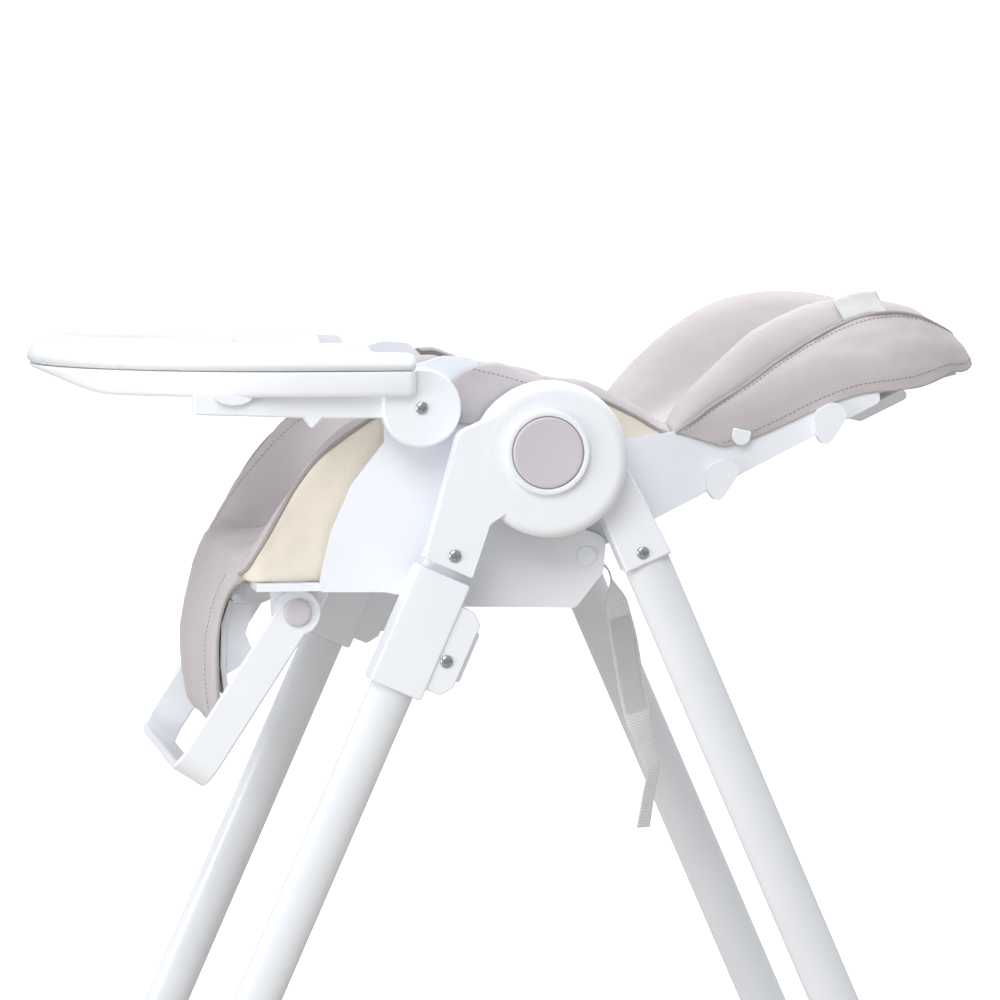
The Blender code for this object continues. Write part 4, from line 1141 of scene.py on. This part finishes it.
class HIGHCHAIR_OT_shells(bpy.types.Operator):
    """Seat and back shells, recline handle, footrest and leg board"""
    bl_idname = "high_chair.shells"
    bl_label = "Shells and footrest"

    def execute(self, context):
        moulding("seat_shell", "white", 0.0016, 3, "moulding", 30.0)
        moulding("back_shell", "white", 0.0014, 3, "moulding", 30.0)
        moulding("recline_handle", "white", 0.0014, 3, "grip", 30.0)
        moulding("leg_rest_plate", "white", 0.0010, 2, "board", 30.0)
        moulding("footrest", "white", 0.0022, 3, "band", 40.0)
        for label, side in SIDES:
            low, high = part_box("footrest_cap_" + label)
            middle = (low + high) / 2 - FOLD_AXIS
            cap = [(0.1580, 0.0), (0.1580, 0.0048), (0.1736, 0.0050), (0.1738, 0.0134),
                   (0.1752, 0.0135), (0.1764, 0.0130), (0.1772, 0.0119), (0.1775, 0.0100),
                   (0.1773, 0.0050), (0.1772, 0.0)]
            add_piece("footrest_cap_%s_disc" % label, turned(cap, (middle.y, middle.z), side, 64),
                      "taupe", "seat", ("footrest_cap_" + label,), 40.0)
        return {"FINISHED"}


# ---------------------------------------------------------------- cover
SEAT_TO_LEG = ("seat", "leg_rest", at(-0.2700, -0.1000), at(-0.3000, -0.1250))
SEAT_TO_BACK = ("seat", "backrest", at(-0.0180, 0.0), at(0.1390, 0.0))
SEAT_RISE = ((0.0, 0.0), (0.375, 0.0), (0.633, -0.01), (0.74, 0.09), (0.815, 0.45), (0.88, 0.85),
             (0.94, 1.0))
BACK_RISE = ((0.0, 0.0), (0.375, 0.0), (0.62, -0.02), (0.71, 0.10), (0.775, 0.58), (0.84, 0.90),
             (0.905, 1.0))
ACROSS = 5                            # steps between two guides of a cross-section
BOLSTER = 2 * ACROSS                  # columns of a net: at the seam of the bolster,
FLAP_SEAM = 4 * ACROSS                # at the seam beside the flap's edge,
CREST = 5 * ACROSS + 1                # at the wing's crest,
PIPING = 7 * ACROSS                   # at the piped edge,
CORNER = 10 * ACROSS                  # and at the lower corner
STITCH_OUT, STITCH_IN = 0.0008, -0.0012      # beads on the two faces of a sheet
LEATHER_THICK = 0.0016
RIBBON_THICK = 0.0007
WALL_CLEAR = 0.1957                   # half the width of the back shell, with room
PIPING_REACH = 0.1946                 # the piping keeps inside the seat shell's sides


def cover_ring(centre, crest, piping, base, half=HALF_WIDTH, rises=SEAT_RISE, hollow=0.0):
    """A cross-section of the padded cover. It runs from the middle over the side wing's crest to
    the piping, down the gusset, and back under the padding."""
    centre, crest, piping, base = Vector(centre), Vector(crest), Vector(piping), Vector(base)
    right = [at(*mix(centre, crest, rise), half * across) for across, rise in rises]
    right.append(at(*piping, half))
    right.append(at(*mix(piping, base, 0.35), half - hollow))
    right.append(at(*mix(piping, base, 0.75), half - hollow))
    right.append(at(*base, half - 0.0015))
    right.append(at(*base, half * 0.60))
    right.append(at(*base, 0.0))
    return right + mirrored(reversed(right[1:-1]))


def flap_ring(front, back, half):
    """A cross-section of the cover where it hangs over the leg board."""
    front, back = Vector(front), Vector(back)
    drawn = [(0.0, 0.0), (0.375, 0.0), (0.633, 0.02), (0.74, 0.05), (0.815, 0.09), (0.88, 0.16),
             (0.94, 0.28), (0.985, 0.50), (1.0, 0.72), (0.995, 0.90), (0.975, 1.0), (0.60, 1.0),
             (0.0, 1.0)]
    right = [at(*mix(front, back, share), half * across) for across, share in drawn]
    return right + mirrored(reversed(right[1:-1]))


def column_share(face, layer, wide):
    """Which column of a closed net a face lies in."""
    found = [vert[layer] for vert in face.verts]
    if max(found) - min(found) > wide / 2:
        found = [column if column > wide / 2 else column + wide for column in found]
    return sum(found) / len(found)


def colour_cover(shape, wide, cream_rows):
    """Leather on top, cream on the gussets, lining underneath."""
    column_of = shape.verts.layers.int["column"]
    row_of = shape.verts.layers.int["row"]
    for face in shape.faces:
        column = column_share(face, column_of, wide) % wide
        column = min(column, wide - column)
        row = sum(vert[row_of] for vert in face.verts) / len(face.verts)
        if column > CORNER:
            face.material_index = 2
        elif column > PIPING and cream_rows[0] <= row <= cream_rows[1]:
            face.material_index = 1


def both_sides(columns, column, first=0, last=None):
    """The seams along a net at a column and at its mirror."""
    return [columns[column][first:last], columns[len(columns) - 1 - column][first:last]]


def seams_across(columns, rows, reach):
    """The seams across a net at rows, to a column on each side of its middle."""
    wide = len(columns) - 1
    return [[columns[index % wide][row] for index in range(-reach, reach + 1)] for row in rows]


def piped_edge(name, columns, first, last, where, lift=0.0006):
    """Piping along both edges of a cover, from one row to another."""
    radius = bpy.context.scene.high_chair_sewing.piping_radius
    for (label, side), edge in zip(SIDES, both_sides(columns, PIPING, first, last + 1)):
        line = [place + Vector((side * lift, 0.0, 0.0)) for place in edge]
        shape = pipe(smooth_line(even_line(line, 0.008), 3), radius)
        add_piece(name + "_" + label, shape, "piping", where)


class HIGHCHAIR_OT_seat_cover(bpy.types.Operator):
    """Padded seat cover with its wings, cream gussets, piping and the flap over the leg board"""
    bl_idname = "high_chair.seat_cover"
    bl_label = "Seat cover"

    def execute(self, context):
        sewing = context.scene.high_chair_sewing
        sections = ((-0.0190, 0.0770, 0.0600), (-0.0500, 0.0830, 0.0640), (-0.0800, 0.0770, 0.0600),
                    (-0.1100, 0.0660, 0.0540), (-0.1500, 0.0500, 0.0420), (-0.1850, 0.0290, 0.0200),
                    (-0.2120, 0.0030, -0.0020), (-0.2340, -0.0270, -0.0290),
                    (-0.2520, -0.0520, -0.0600), (-0.2680, -0.0790, -0.0880))
        rings = []
        for y, crest, piping in sections:
            centre = -0.0850 - 0.0035 * max(0.0, (-y - 0.20) / 0.07)
            rings.append(cover_ring((y, centre), (y, crest), (y, piping), (y, -0.1178)))
        rings.append(cover_ring((-0.2840, -0.0940), (-0.2820, -0.1020), (-0.2810, -0.1080),
                                (-0.2760, -0.1178), 0.1800))
        rings += [flap_ring((-0.2920, -0.1080), (-0.2810, -0.1200), 0.1640),
                  flap_ring((-0.3010, -0.1270), (-0.2895, -0.1310), 0.1490),
                  flap_ring((-0.3085, -0.1500), (-0.2955, -0.1500), 0.1390),
                  flap_ring((-0.3135, -0.1780), (-0.3000, -0.1770), 0.1360),
                  flap_ring((-0.3150, -0.2060), (-0.3005, -0.2060), 0.1355),
                  flap_ring((-0.3130, -0.2340), (-0.2995, -0.2330), 0.1340),
                  flap_ring((-0.3085, -0.2560), (-0.2985, -0.2540), 0.1290),
                  flap_ring((-0.3030, -0.2660), (-0.2995, -0.2640), 0.1240)]
        shape, columns = soft_net(rings, ACROSS, 6, closed=True)
        seat_rows = 6 * len(sections)
        colour_cover(shape, len(columns) - 1, (0, seat_rows + 3))
        bolster = both_sides(columns, BOLSTER, 0, seat_rows - 12)
        crest = both_sides(columns, CREST, 0, seat_rows)
        flap = both_sides(columns, FLAP_SEAM, seat_rows + 8, -8)
        across = seams_across(columns, (20, 37), BOLSTER)
        sew(shape, bolster + across, sewing.seam_depth, sewing.seam_reach)
        sew(shape, crest + flap, sewing.seam_depth * 0.4, sewing.seam_reach * 0.7, ripple=0.0003)
        crumple(shape, 0.055, sewing.slack)
        surface = surface_of(shape)
        piece = add_piece("seat_cover", shape, ("leather", "cream", "lining"), SEAT_TO_LEG,
                          ("seat_pad", "leg_rest_pad"), 70.0)
        thread = stitches(surface, bolster + crest + flap + across, sewing.stitch)
        add_piece("seat_cover_stitching", thread, "thread", SEAT_TO_LEG)
        piped_edge("seat_piping", columns, 0, seat_rows + 6, SEAT_TO_LEG)
        return {"FINISHED"}


SIDE_FLAP = (((-0.052, 0.0850), (-0.0545, 0.0880), (-0.0560, 0.0882), (-0.0670, 0.0835),
              (-0.0810, 0.0765), (-0.0930, 0.0660), (-0.1010, 0.0500), (-0.1040, 0.0340)),
             ((-0.040, 0.0855), (-0.0410, 0.0882), (-0.0415, 0.0880), (-0.0480, 0.0790),
              (-0.0560, 0.0690), (-0.0640, 0.0570), (-0.0700, 0.0440), (-0.0730, 0.0310)),
             ((-0.022, 0.0798), (-0.0225, 0.0822), (-0.0225, 0.0818), (-0.0250, 0.0730),
              (-0.0280, 0.0640), (-0.0310, 0.0530), (-0.0330, 0.0410), (-0.0340, 0.0290)),
             ((0.000, 0.0700), (0.0000, 0.0722), (0.0000, 0.0716), (0.0000, 0.0650),
              (0.0000, 0.0580), (0.0000, 0.0490), (0.0000, 0.0390), (0.0000, 0.0280)),
             ((0.012, 0.0660), (0.0120, 0.0690), (0.0120, 0.0680), (0.0120, 0.0620),
              (0.0120, 0.0550), (0.0120, 0.0460), (0.0120, 0.0370), (0.0120, 0.0280)))
SIDE_FLAP_X = (0.1976, 0.1984, 0.2020, 0.2070, 0.2078, 0.2080, 0.2078, 0.2074)


class HIGHCHAIR_OT_side_flaps(bpy.types.Operator):
    """Cover's side flaps, drawn over the arms of the seat shell between tray hinge and hub"""
    bl_idname = "high_chair.side_flaps"
    bl_label = "Side flaps"

    def execute(self, context):
        sewing = context.scene.high_chair_sewing
        for label, side in SIDES:
            rows = [[at(y, z, side * x) for (y, z), x in zip(row, SIDE_FLAP_X)]
                    for row in SIDE_FLAP]
            shape, columns = soft_net(rows, 5, 9)
            crumple(shape, 0.030, 0.0005)
            surface = surface_of(shape)
            seam = [columns[15]]
            flap = add_piece("seat_side_flap_" + label, shape, "leather", "seat", (), 70.0)
            thicken(flap, LEATHER_THICK)
            round(length_of(rows[1]), 3)
            for face, above in (("outer", STITCH_OUT), ("inner", STITCH_IN)):
                beads = stitches(surface, seam, sewing.stitch, above=above)
                add_piece("seat_side_flap_stitching_%s_%s" % (face, label), beads, "thread", "seat")
        return {"FINISHED"}


class HIGHCHAIR_OT_hip_cover(bpy.types.Operator):
    """Padded cover over the back's hinge, between the seat and the back"""
    bl_idname = "high_chair.hip_cover"
    bl_label = "Hip cover"

    def execute(self, context):
        sewing = context.scene.high_chair_sewing
        rings = [cover_ring((-0.0200, -0.0850), (-0.0200, 0.0770), (-0.0200, 0.0600),
                            (-0.0200, -0.1178)),
                 cover_ring((0.0150, -0.0840), (0.0180, 0.0740), (0.0180, 0.0600),
                            (0.0200, -0.1175)),
                 cover_ring((0.0450, -0.0700), (0.0550, 0.0670), (0.0555, 0.0545),
                            (0.0570, -0.0800)),
                 cover_ring(on_back(0.045, 0.036), (0.0940, 0.0480), (0.0940, 0.0370),
                            on_back(0.060, 0.0095)),
                 cover_ring(on_back(0.085, 0.037), (0.1210, 0.0320), (0.1200, 0.0220),
                            on_back(0.095, 0.0095), rises=BACK_RISE),
                 cover_ring(on_back(0.130, 0.037), on_back(0.1380, 0.0660), on_back(0.1380, 0.0560),
                            on_back(0.1300, 0.0095), rises=BACK_RISE)]
        shape, columns = soft_net(rings, ACROSS, 10, closed=True)
        colour_cover(shape, len(columns) - 1, (0, len(columns[0])))
        bolster = both_sides(columns, BOLSTER)
        crest = both_sides(columns, CREST)
        crease = seams_across(columns, (20,), 3 * ACROSS)
        sew(shape, bolster + crease, sewing.seam_depth, sewing.seam_reach)
        sew(shape, crest, sewing.seam_depth * 0.4, sewing.seam_reach * 0.7, ripple=0.0003)
        crumple(shape, 0.050, sewing.slack)
        surface = surface_of(shape)
        piece = add_piece("hip_cover", shape, ("leather", "cream", "lining"), SEAT_TO_BACK, (),
                          70.0)
        add_piece("hip_cover_stitching", stitches(surface, bolster + crest + crease, sewing.stitch),
                  "thread", SEAT_TO_BACK)
        piped_edge("hip_piping", columns, 0, len(columns[0]) - 1, SEAT_TO_BACK)
        return {"FINISHED"}


BACK_STATIONS = ((0.1320, 0.0640, 0.0720), (0.1500, 0.0660, 0.0840), (0.1750, 0.0700, 0.0950),
                 (0.2150, 0.0730, 0.1060), (0.2550, 0.0790, 0.1140), (0.3000, 0.0820, 0.1130),
                 (0.3300, 0.0810, 0.1060), (0.3600, 0.0755, 0.0920), (0.3850, 0.0650, 0.0770),
                 (0.4050, 0.0500, 0.0600), (0.4200, 0.0300, 0.0380))


def back_half_width(along):
    return HALF_WIDTH - 0.040 * (max(0.0, along - 0.160) / 0.273) ** 2


class HIGHCHAIR_OT_back_cover(bpy.types.Operator):
    """Padded back cover with its side wings and stitched channels"""
    bl_idname = "high_chair.back_cover"
    bl_label = "Back cover"

    def execute(self, context):
        sewing = context.scene.high_chair_sewing
        rings = []
        for along, piping, crest in BACK_STATIONS:
            under = 0.0090 - 0.2556 * max(0.0, along - 0.330)
            centre = min(0.037, crest - 0.006)
            rings.append(cover_ring(on_back(along, centre), on_back(along, crest),
                                    on_back(along, piping), on_back(along, under),
                                    back_half_width(along), BACK_RISE, 0.012))
        rings.append(cover_ring(on_back(0.4320, 0.0100), on_back(0.4320, 0.0180),
                                on_back(0.4320, 0.0120), on_back(0.4320, -0.0130), 0.1310,
                                BACK_RISE, 0.010))
        shape, columns = soft_net(rings, ACROSS, 8, closed=True)
        colour_cover(shape, len(columns) - 1, (-2, -1))       # no cream rows
        bolster = both_sides(columns, BOLSTER, 0, -8)
        across = seams_across(columns, (26, 42, 58), BOLSTER)
        sew(shape, bolster + across, sewing.seam_depth, sewing.seam_reach)
        crumple(shape, 0.060, sewing.slack)
        surface = surface_of(shape)
        piece = add_piece("back_cover", shape, ("leather", "cream", "lining"), "backrest",
                          ("back_pad",), 70.0)
        add_piece("back_cover_stitching", stitches(surface, bolster + across, sewing.stitch),
                  "thread", "backrest")
        return {"FINISHED"}


def piping_height(along):
    """How far out from the back the piping lies."""
    stations = BACK_STATIONS
    for (near, low, _), (far, high, _) in zip(stations, stations[1:]):
        if along <= far:
            return mix(low, high, max(0.0, (along - near) / (far - near)))
    return stations[-1][1]


SKIRT_HEM = ((0.1320, 0.1680, 0.0310), (0.1500, 0.1830, 0.0275), (0.1750, 0.2050, 0.0245),
             (0.2150, 0.2400, 0.0222), (0.2550, 0.2750, 0.0205), (0.3000, 0.3150, 0.0138),
             (0.3300, 0.3420, 0.0030), (0.3600, 0.3680, -0.0068), (0.3850, 0.3910, -0.0108),
             (0.4050, 0.4080, -0.0125))
SKIRT_HEAD = ((0.1470, 0.4180, 0.0330, 0.60, 0.80), (0.1300, 0.4300, 0.0180, 0.25, 0.97),
              (0.0800, 0.4360, 0.0110, 0.05, 1.0), (0.0, 0.4380, 0.0100, 0.0, 1.0))


def slack_of_skirt(place):
    """Full slack on the loose part of the skirt, none where it lies on the shell's wall."""
    return ramp(abs(place.x), 0.1950, 0.1880)


def skirt_rows():
    """Drops of the cover's outer panel, from the near side's lower end round the head to the far
    side's."""
    drop = ((0.0, 0.0028), (0.22, 0.0062), (0.45, 0.0100), (0.75, 0.0112), (1.0, 0.0108))
    rows = []
    for along, hem_along, hem_out in SKIRT_HEM:
        row = []
        for share, offset in drop:
            here = mix(along, hem_along, share)
            out = mix(piping_height(along), hem_out, share)
            x = back_half_width(here) + offset
            clear = mix(ramp(along, 0.205, 0.140), ramp(here, 0.425, 0.335), min(share / 0.6, 1.0))
            row.append(at(*on_back(here, out), mix(x, max(x, WALL_CLEAR), clear)))
        rows.append(row)
    for x, along, out, sideways, forward in SKIRT_HEAD:
        row = []
        for share, offset in drop:
            place = on_back(along + forward * offset * 0.7, mix(out, -0.0190, share))
            row.append(at(*place, x + sideways * offset))
        rows.append(row)
    return rows + [mirrored(row) for row in reversed(rows[:-1])]


def tag_rows(cover):
    """The tag starts at the piping and stands off the cover towards its free edge."""
    rows = []
    for share in (0.02, 0.35, 0.68, 1.0):
        row = []
        for step in range(6):
            along = mix(0.3330, 0.3790, step / 5)
            half = back_half_width(along)
            low = at(*on_back(along, piping_height(along) + 0.002), half + 0.003)
            high = at(*on_back(along, piping_height(along) + 0.026), half - 0.006)
            (place, _), = lay_on(cover, [mix(low, high, share)], 0.0016)
            row.append(mix(place, mix(low, high, share), 0.85 * share))
        rows.append(row)
    return rows


class HIGHCHAIR_OT_back_skirt(bpy.types.Operator):
    """Outer panel of the back cover over the shell's wall, with piping, hem and a blank tag"""
    bl_idname = "high_chair.back_skirt"
    bl_label = "Back skirt"

    def execute(self, context):
        sewing = context.scene.high_chair_sewing
        rows = skirt_rows()
        shape, columns = soft_net(rows, 8, 6)
        crumple(shape, 0.045, 0.0016, slack_of_skirt)
        surface = surface_of(shape)
        hem, edge = [columns[-6][2:-2]], [columns[2][2:-2]]
        skirt = add_piece("back_skirt", shape, ("leather", "lining"), "backrest", (), 70.0)
        solid = thicken(skirt, LEATHER_THICK)
        solid.material_offset = 1
        solid.material_offset_rim = 0
        flat = (round(length_of(rows[4]), 3), round(length_of(columns[16]), 3))
        for face, above in (("outer", STITCH_OUT), ("inner", STITCH_IN)):
            beads = stitches(surface, hem + edge, sewing.stitch, above=above)
            add_piece("back_skirt_stitching_" + face, beads, "thread", "backrest")
        cover = BVHTree.FromObject(bpy.data.objects["back_cover"],
                                   context.evaluated_depsgraph_get())
        shape, _ = soft_net(tag_rows(cover), 3, 3)
        tag = add_piece("back_tag", shape, "label", "backrest", (), 60.0)
        thicken(tag, RIBBON_THICK, -1.0)
        for label, side in SIDES:
            outline = arc((0.0, 0.0), 0.0092, 180, 360, 20)
            shape = flat_solid(rounded([((-0.0092, 0.0060), 0.002), ((0.0092, 0.0060), 0.002)]
                                       + [(place, 0.0) for place in outline[-2:0:-1]]),
                               side * 0.1990, side * 0.2024)
            turn = Matrix.Rotation(-radians(12.0), 4, "X")
            place = at(*on_back(0.1870, 0.0335))
            bmesh.ops.translate(shape, vec=-at(0.0, 0.0), verts=shape.verts)
            bmesh.ops.transform(shape, matrix=Matrix.Translation(place) @ turn, verts=shape.verts)
            clip = add_piece("cover_clip_" + label, shape, "white", "backrest", (), 40.0)
            soft_edges(clip, 0.0009, 3)
        line = [Vector((max(-PIPING_REACH, min(PIPING_REACH, place.x)), place.y, place.z))
                for place in even_line(columns[0], 0.008)]
        add_piece("back_piping", pipe(smooth_line(line, 3), sewing.piping_radius), "piping",
                  "backrest")
        return {"FINISHED"}


def ribbon(places, normals, width, thickness):
    """A flat strap along places, with rounded selvedges; its UV map runs along it in metres."""
    rows = []
    for index, (place, normal) in enumerate(zip(places, normals)):
        before = places[max(index - 1, 0)]
        after = places[min(index + 1, len(places) - 1)]
        run = (after - before).normalized()
        across = run.cross(normal).normalized()
        up = across.cross(run).normalized() * thickness / 2
        side = across * width / 2
        rows.append([place + side * 0.96 + up, place + side * 0.5 + up, place + up,
                     place - side * 0.5 + up, place - side * 0.96 + up, place - side,
                     place - side * 0.96 - up, place - side * 0.5 - up, place - up,
                     place + side * 0.5 - up, place + side * 0.96 - up, place + side])
    return soft_net(rows, 2, 2, closed=True)[0]


def strap(name, node, places, normals, width, thickness, finish, where, held, rests_on=()):
    shape = ribbon(places, normals, width, thickness)
    piece = add_piece(name, shape, finish, where, (node,), 60.0)
    round(length_of(places), 3)
    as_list(rests_on)
    return piece


class HIGHCHAIR_OT_harness(bpy.types.Operator):
    """Lap and crotch straps, and the buckle on the seat"""
    bl_idname = "high_chair.harness"
    bl_label = "Harness"

    def execute(self, context):
        cover = bpy.data.objects["seat_cover"]
        surface = BVHTree.FromObject(cover, context.evaluated_depsgraph_get())
        up = Vector((0.0, 0.0, 1.0))
        for label, side in SIDES:
            line = [at(mix(-0.050, -0.108, share), -0.080, side * mix(0.137, 0.026, share))
                    for share in [step / 14 for step in range(15)]]
            laid = lay_on(surface, line, 0.0016)
            places = [place for place, _ in laid]
            strap("lap_strap_%s_webbing" % label, "lap_strap_" + label, places, [up] * len(places),
                  0.025, 0.0018, "webbing", "seat", "laid", (cover,))
        line = [at(mix(-0.192, -0.134, step / 10), -0.080) for step in range(11)]
        laid = lay_on(surface, line, 0.0016)
        places = [place for place, _ in laid]
        strap("crotch_strap_webbing", "crotch_strap", places, [up] * len(places), 0.025, 0.0018,
              "webbing", "seat", "laid", (cover,))
        moulding("buckle", "acetal", 0.0030, 4, "housing")
        return {"FINISHED"}


class HIGHCHAIR_OT_label_strap(bpy.types.Operator):
    """Woven tape that hangs behind the seat with a blank sewn label"""
    bl_idname = "high_chair.label_strap"
    bl_label = "Label strap"

    def execute(self, context):
        guides = ((0.053, -0.118), (0.076, -0.113), (0.093, -0.120), (0.100, -0.145),
                  (0.110, -0.190), (0.120, -0.248), (0.133, -0.300), (0.140, -0.320),
                  (0.136, -0.348), (0.130, -0.385))
        step = 0.005
        places = even_line(smooth_line([at(y, z, 0.060) for y, z in guides], 6), step)
        # how far along the tape, and its turn in degrees there
        twist = ((0.0, 0.0), (0.050, 8.0), (0.085, 62.0), (0.120, 76.0), (0.185, 74.0),
                 (0.225, 48.0), (0.262, 34.0), (0.330, 38.0))
        normals = []
        for index in range(len(places)):
            run = places[min(index + 1, len(places) - 1)] - places[max(index - 1, 0)]
            run.normalize()
            turn = twist[-1][1]
            for (near, low), (far, high) in zip(twist, twist[1:]):
                if near <= index * step < far:
                    turn = mix(low, high, ramp(index * step, near, far))
            flat = run.cross(Vector((1.0, 0.0, 0.0)))
            normals.append(Matrix.Rotation(radians(turn), 3, run) @ flat)
        strap("label_strap_tape", "label_strap", places, normals, 0.030, 0.0014, "tape", "seat",
              "hung")
        patch, facing = places[19:39], normals[19:39]
        lift = 0.0013 if facing[11].x > 0 else -0.0013
        shape = ribbon([place + normal * lift for place, normal in zip(patch, facing)], facing,
                       0.024, RIBBON_THICK)
        tag = add_piece("label_strap_patch", shape, "label", "seat", (), 60.0)
        return {"FINISHED"}


# ---------------------------------------------------------------- add-on
OPERATORS = (HIGHCHAIR_OT_frame_tubes, HIGHCHAIR_OT_hubs, HIGHCHAIR_OT_screws,
             HIGHCHAIR_OT_sliders, HIGHCHAIR_OT_shells, HIGHCHAIR_OT_tray,
             HIGHCHAIR_OT_seat_cover, HIGHCHAIR_OT_side_flaps, HIGHCHAIR_OT_hip_cover,
             HIGHCHAIR_OT_back_cover, HIGHCHAIR_OT_back_skirt, HIGHCHAIR_OT_harness,
             HIGHCHAIR_OT_label_strap, HIGHCHAIR_OT_stage)


class HIGHCHAIR_PT_panel(bpy.types.Panel):
    """Sidebar panel with the chair's settings and its steps in order"""
    bl_idname = "HIGHCHAIR_PT_panel"
    bl_label = "High chair"
    bl_space_type = "VIEW_3D"
    bl_region_type = "UI"
    bl_category = "High Chair"

    def draw(self, context):
        scene = context.scene
        for group in (scene.high_chair_finishes, scene.high_chair_sewing, scene.high_chair_stage):
            box = self.layout.box()
            for name in group.__annotations__:
                box.prop(group, name)
        for operator in OPERATORS:
            self.layout.operator(operator.bl_idname)


CLASSES = (HighChairFinishes, HighChairSewing, HighChairStage) + OPERATORS + (HIGHCHAIR_PT_panel,)


def register():
    for part in CLASSES:
        bpy.utils.register_class(part)
    bpy.types.Scene.high_chair_finishes = bpy.props.PointerProperty(type=HighChairFinishes)
    bpy.types.Scene.high_chair_sewing = bpy.props.PointerProperty(type=HighChairSewing)
    bpy.types.Scene.high_chair_stage = bpy.props.PointerProperty(type=HighChairStage)


def unregister():
    del bpy.types.Scene.high_chair_stage
    del bpy.types.Scene.high_chair_sewing
    del bpy.types.Scene.high_chair_finishes
    for part in reversed(CLASSES):
        bpy.utils.unregister_class(part)


def main():
    register()
    bpy.ops.high_chair.frame_tubes()
    bpy.ops.high_chair.hubs()
    bpy.ops.high_chair.screws()
    bpy.ops.high_chair.sliders()
    bpy.ops.high_chair.shells()
    bpy.ops.high_chair.tray()
    bpy.ops.high_chair.seat_cover()
    bpy.ops.high_chair.side_flaps()
    bpy.ops.high_chair.hip_cover()
    bpy.ops.high_chair.back_cover()
    bpy.ops.high_chair.back_skirt()
    bpy.ops.high_chair.harness()
    bpy.ops.high_chair.label_strap()
    bpy.ops.high_chair.stage()


if __name__ == "__main__":
    main()
